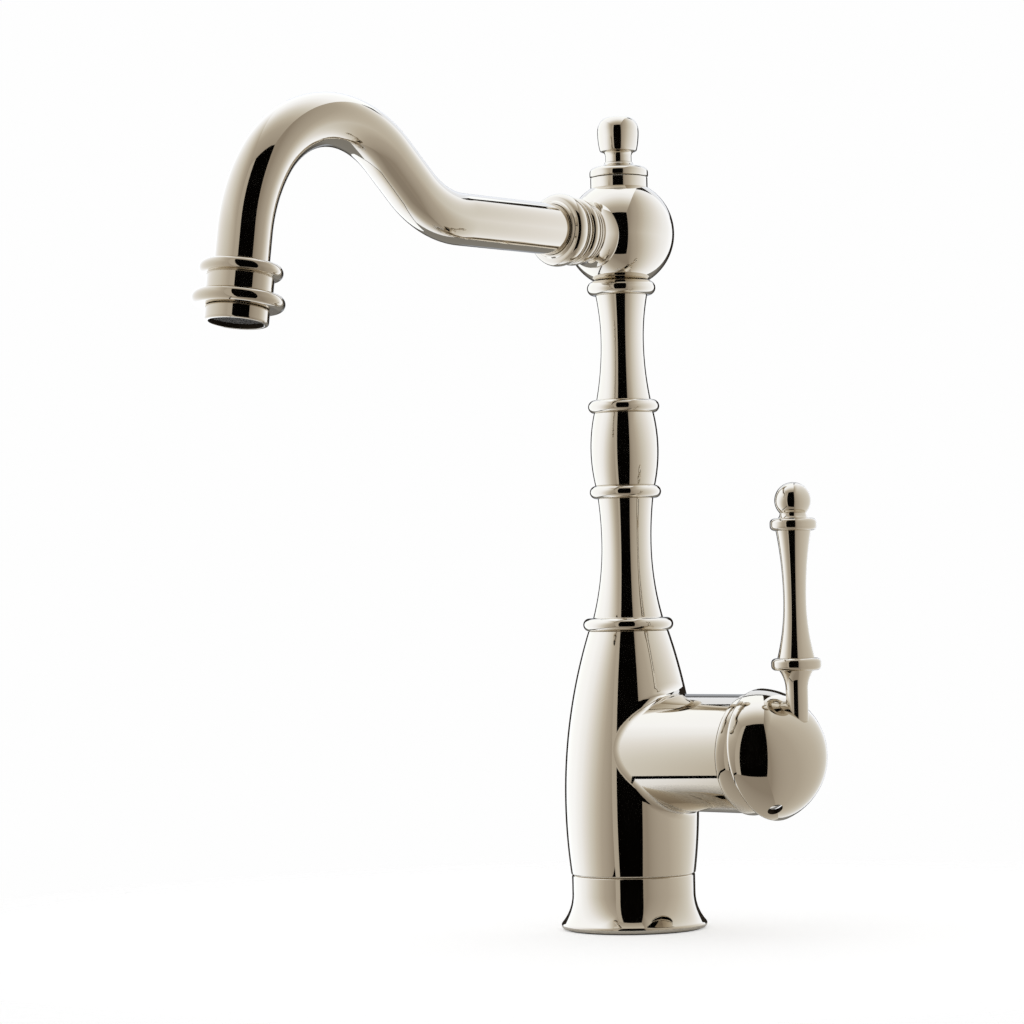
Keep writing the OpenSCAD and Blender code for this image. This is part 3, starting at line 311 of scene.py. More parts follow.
def turned(outline, axis=Straight(), segments=128, closed=True, ease=EASE):
    """Points, faces and point normals of a turned shell; one that isn't closed on a bore ends on its axis."""
    pts = eased(outline, closed, ease)
    area = np.sum(pts[:, 0] * np.roll(pts[:, 1], -1) - np.roll(pts[:, 0], -1) * pts[:, 1])
    if area < 0:
        pts = pts[::-1]
    nor = outline_normals(pts, closed)
    mid, side, other, along = axis.at(pts[:, 1])
    turn = np.arange(segments) * 2 * math.pi / segments
    verts, norms, rings, faces = [], [], [], []
    for i, (r, _) in enumerate(pts):
        start = len(verts)
        if r < 1e-4:
            verts.append(mid[i])
            norms.append(along[i] * math.copysign(1, nor[i, 1]))
            rings.append([start] * segments)
            continue
        for t in turn:
            out = math.cos(t) * side[i] + math.sin(t) * other[i]
            verts.append(mid[i] + r * out)
            norms.append(nor[i, 0] * out + nor[i, 1] * along[i])
        rings.append(list(range(start, start + segments)))
    last = len(rings) if closed else len(rings) - 1
    for i in range(last):
        a, b = rings[i], rings[(i + 1) % len(rings)]
        for j in range(segments):
            k = (j + 1) % segments
            quad = [a[j], a[k], b[k], b[j]]
            face = [v for n, v in enumerate(quad) if v not in quad[:n]]
            if len(face) > 2:
                faces.append(face)
    return np.array(verts), faces, np.array(norms)


def joined(shells):
    """Several closed shells as one set of points, faces and normals."""
    verts, faces, norms, start = [], [], [], 0
    for v, f, n in shells:
        verts.append(v)
        norms.append(n)
        faces += [[i + start for i in face] for face in f]
        start += len(v)
    return np.concatenate(verts), faces, np.concatenate(norms)


def piece(name, shells, material):
    """One object from shells in millimetres, smooth, with its exact normals."""
    verts, faces, norms = joined(shells)
    mesh = bpy.data.meshes.new(name)
    mesh.from_pydata((verts * MM).tolist(), [], faces)
    mesh.shade_smooth()
    mesh.update()
    mesh.normals_split_custom_set_from_vertices([tuple(n) for n in norms])
    obj = bpy.data.objects.new(name, mesh)
    bpy.context.scene.collection.objects.link(obj)
    mesh.materials.append(material)
    return obj


def stands_for(obj, body, slot, *nodes):
    """The piece rides its body and stands in for those CAD nodes; the slot is not used."""
    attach(obj, body)
    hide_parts(*nodes)


# ---------------------------------------------------------------- the column, from the deck up

# Heights at which its pieces meet
FLANGE_H, BODY_TOP, SWELL_Z, SWELL_TOP = 24.2, 131.4, 190.0, 227.9
SEAT_Z, CAP_Z, FINIAL_Z = 280.2, 332.8, 339.4
BEAD_H = 5.8
BARREL_Z, BARREL_R, BARREL_END = 78.0, 25.5, 67.4
BALL_Z, SPOUT_Z = 307.5, 306.3
COLUMN_BORE, SPIGOT_R = 6.3, 22.0
BEVEL = 0.5  # of the body and the flange where they meet
# The body as (radius, height)
BODY_FOOT, BODY_WAIST, BODY_HEAD = (27.5, FLANGE_H + BEVEL), (29.6, 57.0), (17.8, BODY_TOP)


def flange_outline():
    """The flange: a round lip, a hollow flare that runs on from it, and a short upright neck."""
    lip_r, lip = 1.7, (30.5, 2.1)
    neck, flare_h = 27.2, 15.6
    dx, dz = lip[0] - neck, flare_h - lip[1]
    radius = (dx * dx + dz * dz - lip_r**2) / (2 * (dx + lip_r))
    centre = (neck + radius, flare_h)
    meet = math.degrees(math.atan2(centre[1] - lip[1], centre[0] - lip[0]))
    return (arc(lip, lip_r, -90, meet, step=6) + arc(centre, radius, 180 + meet, 180, step=1.5)
            + [(neck, FLANGE_H - BEVEL), (neck - BEVEL, FLANGE_H)])


GASKET_R, GASKET_BORE, GASKET_H = 30, 24.5, 1.6
GASKET = piece("deck_sealing_ring", [turned(bored([(GASKET_R, 0), (GASKET_R, GASKET_H)], GASKET_BORE),
                                            ease=0.4)], RUBBER)
stands_for(GASKET, "faucet_base", "rubber", "deck_gasket")

FLANGE = piece("flared_flange", [turned(bored(flange_outline(), SPIGOT_R + 0.1), segments=160)], NICKEL)
stands_for(FLANGE, "faucet_base", "nickel", "base_flange")


def body_surface(points=400):
    """The body's outline above its bevel, finely spaced."""
    z = np.linspace(BODY_FOOT[1], BODY_TOP, points)
    r = [swept(BODY_WAIST, BODY_FOOT if h < BODY_WAIST[1] else BODY_HEAD, h) for h in z]
    return np.array(r), z


def barrel_fillet(top=6.5, side=8.0, foot=4.0, segments=180, across=12, sink=0.8):
    """The soft cast corner where the barrel leaves the body: a ball rolled round the barrel's foot.

    Its radius is given over the barrel, beside it and under it. Each turn's section is closed a
    little way inside the metal.
    """
    body_r, body_z = body_surface()

    def nearest(p):
        q = math.hypot(p[0], p[1])
        d = np.hypot(body_r - q, body_z - p[2])
        i = int(np.argmin(d))
        return d[i], np.array([p[0] / q * body_r[i], p[1] / q * body_r[i], body_z[i]])

    verts, norms, faces = [], [], []
    for j in range(segments):
        turn = 2 * math.pi * j / segments
        away = np.array([0.0, math.sin(turn), math.cos(turn)])
        ball = (side + (top - foot) / 2 * math.cos(turn)
                + ((top + foot) / 2 - side) * abs(math.cos(turn)))
        base = np.array([0, 0, BARREL_Z]) + (BARREL_R + ball) * away
        # The ball lies against the barrel and is moved out until it lies against the body too
        lo, hi = 2.0, 45.0
        for _ in range(40):
            x = (lo + hi) / 2
            gap = nearest(base + [x, 0, 0])[0]
            inside = math.hypot(x, base[1]) < np.interp(base[2], body_z, body_r)
            if inside or gap < ball:
                lo = x
            else:
                hi = x
        centre = base + [x, 0, 0]
        on_body = nearest(centre)[1]
        a, b = -away, (on_body - centre) / np.linalg.norm(on_body - centre)
        span = math.acos(max(-1, min(1, float(a @ b))))
        for i in range(across + 1):
            t = i / across
            d = (math.sin((1 - t) * span) * a + math.sin(t * span) * b) / math.sin(span)
            verts.append(centre + ball * d)
            norms.append(-d)
        corner = (a + b) / np.linalg.norm(a + b)
        verts.append(centre + corner * (ball / math.cos(span / 2) + sink))
        norms.append(corner)
    row = across + 2
    for j in range(segments):
        k = (j + 1) % segments
        for i in range(row):
            n = (i + 1) % row
            faces.append([k * row + i, k * row + n, j * row + n, j * row + i])
    return np.array(verts), faces, np.array(norms)


BARREL_AXIS = Straight((0, 0, BARREL_Z), (1, 0, 0), (0, 0, 1))
body_outline = ([(0, FLANGE_H), (BODY_FOOT[0] - BEVEL, FLANGE_H)]
                + shaft(BODY_FOOT, BODY_WAIST, BODY_HEAD, step=1.2) + [(0, BODY_TOP)])
# The spigot that stands in the flange
spigot = [(0, 0.8), (SPIGOT_R, 0.8), (SPIGOT_R, 25), (0, 25)]
# Round edge, then the threaded mouth for the bonnet and the cartridge's bore
edge, mouth, mouth_floor, bore, bore_floor = 0.8, 22, 59, 20.2, 30
barrel_outline = ([(0, 0), (BARREL_R, 0)] + arc((BARREL_R - edge, BARREL_END - edge), edge, 0, 90, step=9)
                  + [(mouth, BARREL_END), (mouth, mouth_floor), (bore, mouth_floor), (bore, bore_floor),
                     (0, bore_floor)])
VALVE_BODY = piece("cast_valve_body", [
    turned(body_outline, segments=160, closed=False),
    turned(spigot, closed=False),
    turned(barrel_outline, BARREL_AXIS, segments=160, closed=False),
    barrel_fillet(),
], NICKEL)
stands_for(VALVE_BODY, "faucet_base", "nickel", "valve_body")

LOWER = bead(39.9, BEAD_H, BODY_TOP) + shaft((15.5, BODY_TOP + BEAD_H), (11.1, 170.2), (12.3, SWELL_Z))
COLUMN_LOWER = piece("column_foot_shaft", [turned(bored(LOWER, COLUMN_BORE))], NICKEL)
stands_for(COLUMN_LOWER, "faucet_base", "nickel", "column_lower")

MIDDLE = (bead(31.6, BEAD_H, SWELL_Z) + shaft((13.3, SWELL_Z + BEAD_H), (15.1, 211.85), (13.3, SWELL_TOP))
          + bead(31.6, BEAD_H, SWELL_TOP))
COLUMN_MIDDLE = piece("column_swell", [turned(bored(MIDDLE, COLUMN_BORE))], NICKEL)
stands_for(COLUMN_MIDDLE, "faucet_base", "nickel", "column_middle")

UPPER = shaft((12.1, SWELL_TOP + BEAD_H), (9.55, 260.0), (11.5, SEAT_Z))
COLUMN_UPPER = piece("column_neck", [turned(bored(UPPER, COLUMN_BORE))], NICKEL)
stands_for(COLUMN_UPPER, "faucet_base", "nickel", "column_upper")

SEAT = piece("ball_seat_bead", [turned(bored(bead(30.4, 6.4, SEAT_Z), 11.0))], NICKEL)
stands_for(SEAT, "faucet_base", "nickel", "swivel_seat")

# A round shoulder and the hollow corner up to the finial
CAP = ([(12.6, CAP_Z), (13.0, CAP_Z + 0.4)] + arc((9.5, CAP_Z + 2), 3.5, 0, 90, ry=2.62, step=6)
       + arc((9.5, FINIAL_Z), 3.3, 270, 180, ry=1.98, step=6))
FINIAL_CAP = piece("cap_ring", [turned(bored(CAP, 6.1))], NICKEL)
stands_for(FINIAL_CAP, "faucet_base", "nickel", "finial_cap")


def knop(z, r=9.2, low=5.6, high=13.6):
    """The finial from z up: a hollow neck, a bulb that widens to r from low to high, and a domed top."""
    bulb = [(swept((r, high), (r - 0.9, low), h), z + h) for h in np.linspace(low, high, 12)]
    return ([(0, z), (5.8, z)] + arc((8.0, z + 2.8), 2.2, 180, 90, step=8) + bulb
            + arc((r / 2, z + high), r / 2, 3, 90, ry=6.5, step=5) + [(2.3, z + 20.47), (0, z + 20.6)])


FINIAL = piece("finial_knop", [turned(knop(FINIAL_Z), closed=False)], NICKEL)
stands_for(FINIAL, "faucet_base", "nickel", "finial")

# ---------------------------------------------------------------- bonnet and handle

# The bonnet: its thread in the barrel's mouth, a short band and a ball about the lever's pivot
PIVOT_X, BONNET_BALL, BONNET_BAND, BONNET_FRONT, BONNET_BORE = 63.5, 26.8, 26.3, 78.6, 17.2
BONNET_OUT = ([(21.9, 64.0), (21.9, 67.5), (BONNET_BAND - 0.3, 67.5), (BONNET_BAND, 67.8)]
              + arc((0, PIVOT_X), BONNET_BALL, math.degrees(math.acos(BONNET_BAND / BONNET_BALL)),
                    math.degrees(math.asin((BONNET_FRONT - PIVOT_X) / BONNET_BALL)), step=2))
BONNET = piece("bonnet_ring", [turned(bored(BONNET_OUT, BONNET_BORE), BARREL_AXIS, segments=160, ease=0.12)],
               NICKEL)
stands_for(BONNET, "faucet_base", "nickel", "bonnet")

# The dome's axis starts in the middle of its rim and leans a little up from the barrel's axis
DOME_TILT, DOME_X = math.radians(81), 77.3
DOME_AXIS = Straight((DOME_X, 0, BARREL_Z), (math.sin(DOME_TILT), 0, math.cos(DOME_TILT)),
                     (math.cos(DOME_TILT), 0, -math.sin(DOME_TILT)))
# Half-axes of the dome's outside and its hollow, how far behind the rim they cross, the rim's
# roundness, and its middle as (radius, height)
DOME_OUT, DOME_IN, DOME_BACK, RIM_R = (29.2, 29.9), (27.3, 27.5), 7.0, 1.8
WIDEST = DOME_OUT[0] * math.sqrt(1 - (DOME_BACK / DOME_OUT[1]) ** 2)
RIM_SLOPE = math.atan(DOME_BACK * (DOME_OUT[0] / DOME_OUT[1]) ** 2 / WIDEST)
RIM = (WIDEST - RIM_R * math.cos(RIM_SLOPE), -RIM_R * math.sin(RIM_SLOPE))


def dome_shell():
    """The dome as one closed shell that starts and ends on its own axis."""
    hub = (0, -DOME_BACK)
    hollow = arc(hub, DOME_IN[0], 90, 10.7, ry=DOME_IN[1], step=2.5)
    rim = arc(RIM, RIM_R, -84, math.degrees(RIM_SLOPE), step=6)
    outer = arc(hub, DOME_OUT[0], 14.6, 90, ry=DOME_OUT[1], step=1.5)
    top, under = DOME_OUT[1] - DOME_BACK, DOME_IN[1] - DOME_BACK
    outline = [(0, under)] + hollow[1:] + rim + outer[:-1] + [(0, top)]
    return turned(outline, DOME_AXIS, segments=160, closed=False, ease=0.3)


def on_ellipse(r, h, half_axes):
    """1 on that ellipse of the dome, less inside it."""
    return math.hypot(r / half_axes[0], (h + DOME_BACK) / half_axes[1])


def pierce(obj, at, along, radius, depth):
    """Bores the dome's access hole, gives its inside the dull finish darkened as painted shade, and its faces
    their exact normals.
    """
    bore = turned([(0, 0), (radius, 0), (radius, depth), (0, depth)], Straight(at, along, (1, 0, 0)),
                  segments=48, closed=False, ease=0.0)
    tool = piece("drill", [bore], NICKEL)
    cut = obj.modifiers.new("access", "BOOLEAN")
    cut.object, cut.operation, cut.solver = tool, "DIFFERENCE", "EXACT"
    mesh = bpy.data.meshes.new_from_object(obj.evaluated_get(bpy.context.evaluated_depsgraph_get()))
    obj.modifiers.clear()
    obj.data = mesh
    bpy.data.objects.remove(tool, do_unlink=True)
    mesh.shade_smooth()
    # The second slot: the dull inside, darkened as painted shade for the recess
    mesh.materials.append(HOLLOW_PAINTED_SHADE)
    rows = np.array([DOME_AXIS.side, DOME_AXIS.other, DOME_AXIS.along])

    def local(point):
        return rows @ (np.array(point) / MM - DOME_AXIS.start)

    normals = []
    for poly in mesh.polygons:
        x, y, h = local(poly.center)
        r = math.hypot(x, y)
        # The hollow, and the hole's wall between the hollow and the outside: these take the dull finish,
        # darkened as painted shade
        inside = on_ellipse(r, h, DOME_IN) < 1.004 or on_ellipse(r, h, DOME_OUT) < 0.985
        poly.material_index = int(h > 0.5 and inside)
        flat = np.array(poly.normal)
        for i in poly.loop_indices:
            x, y, h = local(mesh.vertices[mesh.loops[i].vertex_index].co)
            r = math.hypot(x, y)
            guesses = []
            for axes, sign in ((DOME_OUT, 1), (DOME_IN, -1)):
                if abs(on_ellipse(r, h, axes) - 1) < 0.004:
                    guesses.append(sign * np.array([x / axes[0]**2, y / axes[0]**2,
                                                    (h + DOME_BACK) / axes[1]**2]))
            share = 1 - RIM[0] / max(r, 1)
            from_rim = np.array([x * share, y * share, h - RIM[1]])
            if abs(np.linalg.norm(from_rim) - RIM_R) < 0.05:
                guesses.append(from_rim)
            # The guess nearest to the face's own normal, where one is near enough
            best, score = flat, 0.9
            for n in guesses:
                n = (n / np.linalg.norm(n)) @ rows
                if n @ flat > score:
                    best, score = n, n @ flat
            normals.append(tuple(best))
    mesh.normals_split_custom_set(normals)


# The set screw's hole: its turn from straight down, where it starts beside the axis, and how far it goes
SCREW_ANGLE, SCREW_X, ACCESS_R, ACCESS_START, ACCESS_L = math.radians(25), 86.9, 2.9, 9, 40
SCREW_WAY = np.array([0.0, -math.sin(SCREW_ANGLE), -math.cos(SCREW_ANGLE)])
DOME = piece("handle_cap", [dome_shell()], NICKEL)
access = np.array([SCREW_X, 0, BARREL_Z]) + ACCESS_START * SCREW_WAY
pierce(DOME, access, SCREW_WAY, ACCESS_R, ACCESS_L)
stands_for(DOME, "handle", "nickel", "handle_dome")

LEVER = Straight((91.8, 0, 0))
STEM_R, STEM_Z, FLARE_Z = 4.7, 92.0, 105.8
# The lever's two beads, and its end ball on a short neck
FOOT_BEAD_Z, TOP_BEAD_Z, LEVER_BEAD_H, LEVER_EDGE = 113.8, 173.1, 5.2, 1.9
GRIP_Z, NECK_Z = FOOT_BEAD_Z + LEVER_BEAD_H, TOP_BEAD_Z + LEVER_BEAD_H
END_BALL_R, END_BALL_Z, NECK_R = 7.75, 185.9, 5.6

# A straight foot in the dome's socket, and a flare up to the bead
STEM = ([(0, STEM_Z), (STEM_R, STEM_Z), (STEM_R, FLARE_Z)]
        + [(swept((STEM_R, FLARE_Z), (7.3, FOOT_BEAD_Z), z), z)
           for z in np.linspace(FLARE_Z + 0.4, FOOT_BEAD_Z, 14)]
        + band(21.2, LEVER_BEAD_H, FOOT_BEAD_Z, LEVER_EDGE) + [(0, GRIP_Z)])
LEVER_STEM = piece("lever_foot", [turned(STEM, LEVER, closed=False)], NICKEL)
stands_for(LEVER_STEM, "handle", "nickel", "lever_stem")

GRIP = [(0, GRIP_Z)] + shaft((7.95, GRIP_Z), (4.85, 143.6), (7.5, TOP_BEAD_Z)) + [(0, TOP_BEAD_Z)]
LEVER_GRIP = piece("lever_shaft", [turned(GRIP, LEVER, closed=False, ease=0.12)], NICKEL)
stands_for(LEVER_GRIP, "handle", "nickel", "lever_grip")

# The bead, a short cone and the ball, which the cone meets at its own width
neck_top = END_BALL_Z - math.sqrt(END_BALL_R**2 - NECK_R**2)
KNOB = ([(0, TOP_BEAD_Z)] + band(19.9, LEVER_BEAD_H, TOP_BEAD_Z, LEVER_EDGE)
        + [(swept((NECK_R, neck_top), (6.5, NECK_Z), z), z) for z in np.linspace(NECK_Z, neck_top, 8)]
        + arc((0, END_BALL_Z), END_BALL_R, -math.degrees(math.acos(NECK_R / END_BALL_R)), 90, step=3)[:-1]
        + [(0, END_BALL_Z + END_BALL_R)])
LEVER_KNOB = piece("lever_end_ball", [turned(KNOB, LEVER, closed=False)], NICKEL)
stands_for(LEVER_KNOB, "handle", "nickel", "lever_knob")

# ---------------------------------------------------------------- ball, spout and outlet

SPOUT_AXIS = Straight((0, 0, SPOUT_Z), (0, -1, 0), (1, 0, 0))
# The ball is cut flat at its foot and bored for the post, and has a low collar on top
BALL_R, BALL_CUT, BALL_BORE = 24.05, 286.9, 9.3
COLLAR_R, COLLAR_TOP = 12.7, 332.5
FOOT_R, WAIST_R, WAIST = 14.9, 12.9, 25.2  # the spout's foot narrows from the ball to this distance

cut_angle = math.degrees(math.asin((BALL_CUT - BALL_Z) / BALL_R))
ball = ([(BALL_BORE, BALL_CUT)] + arc((0, BALL_Z), BALL_R, cut_angle, 62, step=1.5)
        + [(BALL_BORE, BALL_Z + 21.2)])
low_collar = bored([(COLLAR_R, BALL_Z + 15), (COLLAR_R, COLLAR_TOP)], BALL_BORE)
foot_start = math.sqrt(BALL_R**2 - FOOT_R**2)
foot = bored([(FOOT_R, 10)] + [(swept((WAIST_R, WAIST), (FOOT_R, foot_start), d), d)
             for d in np.linspace(foot_start, WAIST, 14)] + [(12.4, 25.8), (12.4, 39.0)], 9.5)
HUB = piece("ball_hub", [turned(ball, segments=160), turned(low_collar, ease=0.3),
                         turned(foot, SPOUT_AXIS)], NICKEL)
stands_for(HUB, "spout", "nickel", "spout_hub")

# Two thin ridges and a rounder bead
RING = bored(bead(26.6, 1.5, 26.3) + bead(27.3, 1.6, 28.1) + bead(29.6, 4.4, 30.0), 12.5)
LOCK_RING = piece("spout_ring", [turned(RING, SPOUT_AXIS)], NICKEL)
stands_for(LOCK_RING, "spout", "nickel", "lock_ring")

# A thin ridge, a groove, the round rim and a short cone down to the tube
NUT = (bead(29.8, 1.6, 36.5) + [(13.4, 38.3)] + arc((12.9, 41.9), 2.95, -78, 78, ry=3.4, step=5)
       + [(12.6, 45.5), (11.9, 46.6)])
UNION_NUT = piece("spout_union_nut", [turned(bored(NUT, 11.1), SPOUT_AXIS)], NICKEL)
stands_for(UNION_NUT, "spout", "nickel", "spout_nut")

TUBE_R, TUBE_BORE = 11.0, 9.5
TUBE_START, IN_COLLAR = -40.2, 8.0  # the tube's end runs on inside the outlet's collar
SPOUT_STEPS = [(65.2, 0, 0), (0, 45.6, 40.9), (18.2, 0, 0), (0, 47.5, -94.8), (0, 67.4, -27.5), (11.8, 0, 0)]
PATH = Bent((TUBE_START, SPOUT_Z), 0, SPOUT_STEPS + [(IN_COLLAR, 0, 0)])
lengths = PATH.rows[:, 0]
TUBE = [(TUBE_R, d) for d in lengths] + [(TUBE_BORE, d) for d in lengths[::-1]]
SPOUT = piece("bent_spout_tube", [turned(TUBE, PATH, segments=96)], NICKEL)
stands_for(SPOUT, "spout", "nickel", "spout_tube")

OUTLET = PATH.end(PATH.length - IN_COLLAR)
TOP_BEAD, NECK, LOW_BEAD = 0.8, 6.1, 12.8  # where they start, measured down from the collar's top
COLLAR = bored([(11.8, 0), (11.8, TOP_BEAD)] + bead(33.3, NECK - TOP_BEAD, TOP_BEAD)
               + [(13.4, NECK), (13.4, LOW_BEAD)] + bead(37.0, 5.7, LOW_BEAD), 11.7)
OUTLET_COLLAR = piece("outlet_beads", [turned(COLLAR, OUTLET)], NICKEL)
stands_for(OUTLET_COLLAR, "spout", "nickel", "outlet_collar")

AERATOR_R, AERATOR_BORE, AERATOR_END = 12.8, 10.95, 24.5
AERATOR = bored([(11.6, 15.0), (11.6, 18.7), (AERATOR_R - 0.3, 18.7), (AERATOR_R, 19.0)]
                + arc((AERATOR_R - 1, AERATOR_END - 1), 1.0, 0, 90, step=9), AERATOR_BORE)
AERATOR_RING = piece("aerator_ring", [turned(AERATOR, OUTLET)], NICKEL)
# Its bore stays dull and is darkened as painted shade for the shade inside it
AERATOR_RING.data.materials.append(HOLLOW_PAINTED_SHADE)
for poly in AERATOR_RING.data.polygons:
    spot = np.array(poly.center) / MM - OUTLET.start
    spot -= (spot @ OUTLET.along) * OUTLET.along
    poly.material_index = int(np.linalg.norm(spot) < AERATOR_BORE + 0.05)
stands_for(AERATOR_RING, "spout", "nickel", "aerator_housing")


def calc(tree, operation, a, b=None):
    """A maths node's result. Each of its inputs is a number or a socket."""
    made = add(tree, "ShaderNodeMath", {"operation": operation})
    for socket, source in zip(made.inputs, (a, b)):
        if isinstance(source, (int, float)):
            socket.default_value = source
        elif source is not None:
            tree.links.new(source, socket)
    return made.outputs[0]


def wire_mesh(name, material, radius, pitch, wire, axis, h, turn=35, filled=0.97, weave=0.42):
    """The aerator's woven screen: two crossing families of wires, each as long as the disc is wide there.

    The wires fill that share of the radius, and each family lies that share of a wire's thickness
    off the middle.
    """
    tree = bpy.data.node_groups.new(name, "GeometryNodeTree")
    face = tree.interface
    face.new_socket("Geometry", in_out="OUTPUT", socket_type="NodeSocketGeometry")
    sizes = {"Radius": radius * MM, "Pitch": pitch * MM, "Wire": wire * MM}
    sockets = {label: face.new_socket(label, in_out="INPUT", socket_type="NodeSocketFloat").identifier
               for label in sizes}
    inputs, out = add(tree, "NodeGroupInput"), add(tree, "NodeGroupOutput")
    rad, gap, dia = (inputs.outputs[label] for label in sizes)

    # One point per wire on a line across the disc
    width = calc(tree, "MULTIPLY", rad, 2 * filled)
    count = calc(tree, "FLOOR", calc(tree, "DIVIDE", width, gap))
    span = calc(tree, "MULTIPLY", calc(tree, "SUBTRACT", count, 1), gap)
    first = calc(tree, "MULTIPLY", span, -0.5)
    line = add(tree, "GeometryNodeMeshLine", {"mode": "OFFSET"}, Count=count,
               Start_Location=add(tree, "ShaderNodeCombineXYZ", X=first).outputs[0],
               Offset=add(tree, "ShaderNodeCombineXYZ", X=gap).outputs[0])
    # A rod on each point, as long as the disc's chord there
    where = add(tree, "ShaderNodeSeparateXYZ", Vector=add(tree, "GeometryNodeInputPosition").outputs[0])
    square = calc(tree, "SUBTRACT", calc(tree, "MULTIPLY", rad, rad),
                  calc(tree, "MULTIPLY", where.outputs["X"], where.outputs["X"]))
    chord = calc(tree, "MULTIPLY", calc(tree, "SQRT", square), 2.0)
    rod = add(tree, "GeometryNodeMeshCylinder", {"Vertices": 8, "Depth": 1.0},
              Radius=calc(tree, "MULTIPLY", dia, 0.5))
    size = add(tree, "ShaderNodeCombineXYZ", {"X": 1.0, "Y": 1.0}, Z=chord)
    wires = add(tree, "GeometryNodeInstanceOnPoints", {"Rotation": (math.pi / 2, 0, 0)},
                Points=line.outputs["Mesh"], Instance=rod.outputs["Mesh"], Scale=size.outputs[0])
    both = add(tree, "GeometryNodeJoinGeometry")
    for lift, angle in ((weave, 0.0), (-weave, math.pi / 2)):
        offset = add(tree, "ShaderNodeCombineXYZ", Z=calc(tree, "MULTIPLY", dia, lift))
        family = add(tree, "GeometryNodeTransform", {"Rotation": (0, 0, angle)},
                     Geometry=wires.outputs[0], Translation=offset.outputs[0])
        tree.links.new(family.outputs[0], both.inputs[0])
    real = add(tree, "GeometryNodeRealizeInstances", Geometry=both.outputs[0])
    painted = add(tree, "GeometryNodeSetMaterial", {"Material": material}, Geometry=real.outputs[0])
    tree.links.new(painted.outputs[0], out.inputs[0])

    screen = bpy.data.objects.new(name, bpy.data.meshes.new(name))
    bpy.context.scene.collection.objects.link(screen)
    mod = screen.modifiers.new("weave", "NODES")
    mod.node_group = tree
    for label, value in sizes.items():
        mod[sockets[label]] = value
    mesh = bpy.data.meshes.new_from_object(screen.evaluated_get(bpy.context.evaluated_depsgraph_get()))
    screen.modifiers.clear()
    screen.data = mesh
    at = axis.start + axis.along * h
    place = Matrix([[axis.side[i], axis.other[i], axis.along[i], at[i] * MM] for i in range(3)]
                   + [[0, 0, 0, 1]])
    mesh.transform(place @ Matrix.Rotation(math.radians(turn), 4, "Z"))
    mesh.shade_smooth()
    mesh.set_sharp_from_angle(angle=math.radians(40))
    return screen


SCREEN = wire_mesh("woven_screen", WIRE, radius=10.8, pitch=1.1, wire=0.18, axis=OUTLET, h=22.5)
stands_for(SCREEN, "spout", "steel", "aerator_screen")

# ---------------------------------------------------------------- the pieces inside keep their CAD meshes

INSIDE = {
    BRASS: ["riser_tube", "swivel_post", "cartridge_nut"],
    STEEL: ["pivot_pin", "spindle", "set_screw"],
    RUBBER: ["riser_seals", "post_seals", "cartridge_gasket", "spout_gasket", "aerator_washer"],
    ACETAL: ["swivel_washers", "cartridge_housing", "stem_carrier"],
    NYLON: ["cartridge_base", "disc_driver", "aerator_insert"],
    CERAMIC: ["fixed_disc", "moving_disc"],
}
for material, names in INSIDE.items():
    for name in names:
        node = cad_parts[name]
        if not node.material_slots:
            node.data.materials.append(material)
        for held in node.material_slots:
            held.material = material

# ---------------------------------------------------------------- the tent, the floor and the light

METAL = linear(NICKEL_HEX)
LAMP = 1.6  # the cloth's strength, so that its brightest colour stays below 1
# How the cloth's glow, as the metal shows it, fades from the back of the tent to its open front:
# (metres ahead of the column, colour)
FADE = [(-0.30, "#F9F8F5"), (-0.10, "#F6F4F0"), (0.0, "#EBE8E2"), (0.06, "#DED8CE"), (0.12, "#CDC6B7"),
        (0.20, "#B8AD9A"), (0.27, "#A89C89"), (0.55, "#8A7D6B")]
# Where the tent's sides stand, in metres across, towards the camera and up. The front is open, so
# it shows black.
LEFT, RIGHT, FRONT, BASE, TOP = -0.26, 0.122, 0.40, -0.137, 0.649
LEFT_BACK, SEAM_H = -0.45, 0.03
EVEN = 0.0 * TOWARDS


def upright(u0, v0, u1, v1, low=BASE, high=TOP):
    return [(u0, v0, low), (u1, v1, low), (u1, v1, high), (u0, v0, high)]


def level(back, z):
    return [(LEFT, back, z), (RIGHT, back, z), (RIGHT, FRONT, z), (LEFT, FRONT, z)]


SIDES = {
    "right_side": dict(corners=upright(RIGHT, -0.15, RIGHT, FRONT), fades=1.377 * TOWARDS, start=0.0,
                       fall=0.6, middle=0.30),
    "left_side": dict(corners=upright(LEFT, LEFT_BACK, LEFT, FRONT), fades=1.174 * TOWARDS, start=-0.14,
                      fall=0.5, middle=0.36),
    "ceiling": dict(corners=level(-0.386, TOP), fades=1.296 * TOWARDS, start=-0.08),
    "ground": dict(corners=level(-0.19, BASE), fades=1.32 * TOWARDS + 1.06 * ACROSS, start=0.24, gain=0.93),
    "front_flap": dict(corners=upright(LEFT, FRONT, -0.185, FRONT), start=0.28),
    # Two far sheets behind the tent: a pale one high up, which the barrel's top shows, and a dim one
    "upper_back": dict(corners=upright(-0.9, -0.8, 0.9, -0.8, 0.55, 1.05), start=-0.1, gain=0.8),
    "back_sheet": dict(corners=upright(-0.10, -1.2, 0.10, -1.2), start=-0.1, gain=0.28),
    # The dark seam along the foot of the left side, just inside it
    "foot_seam": dict(corners=upright(LEFT + 0.001, LEFT_BACK, LEFT + 0.001, FRONT, high=BASE + SEAM_H),
                      start=0.0, gain=0.0),
}


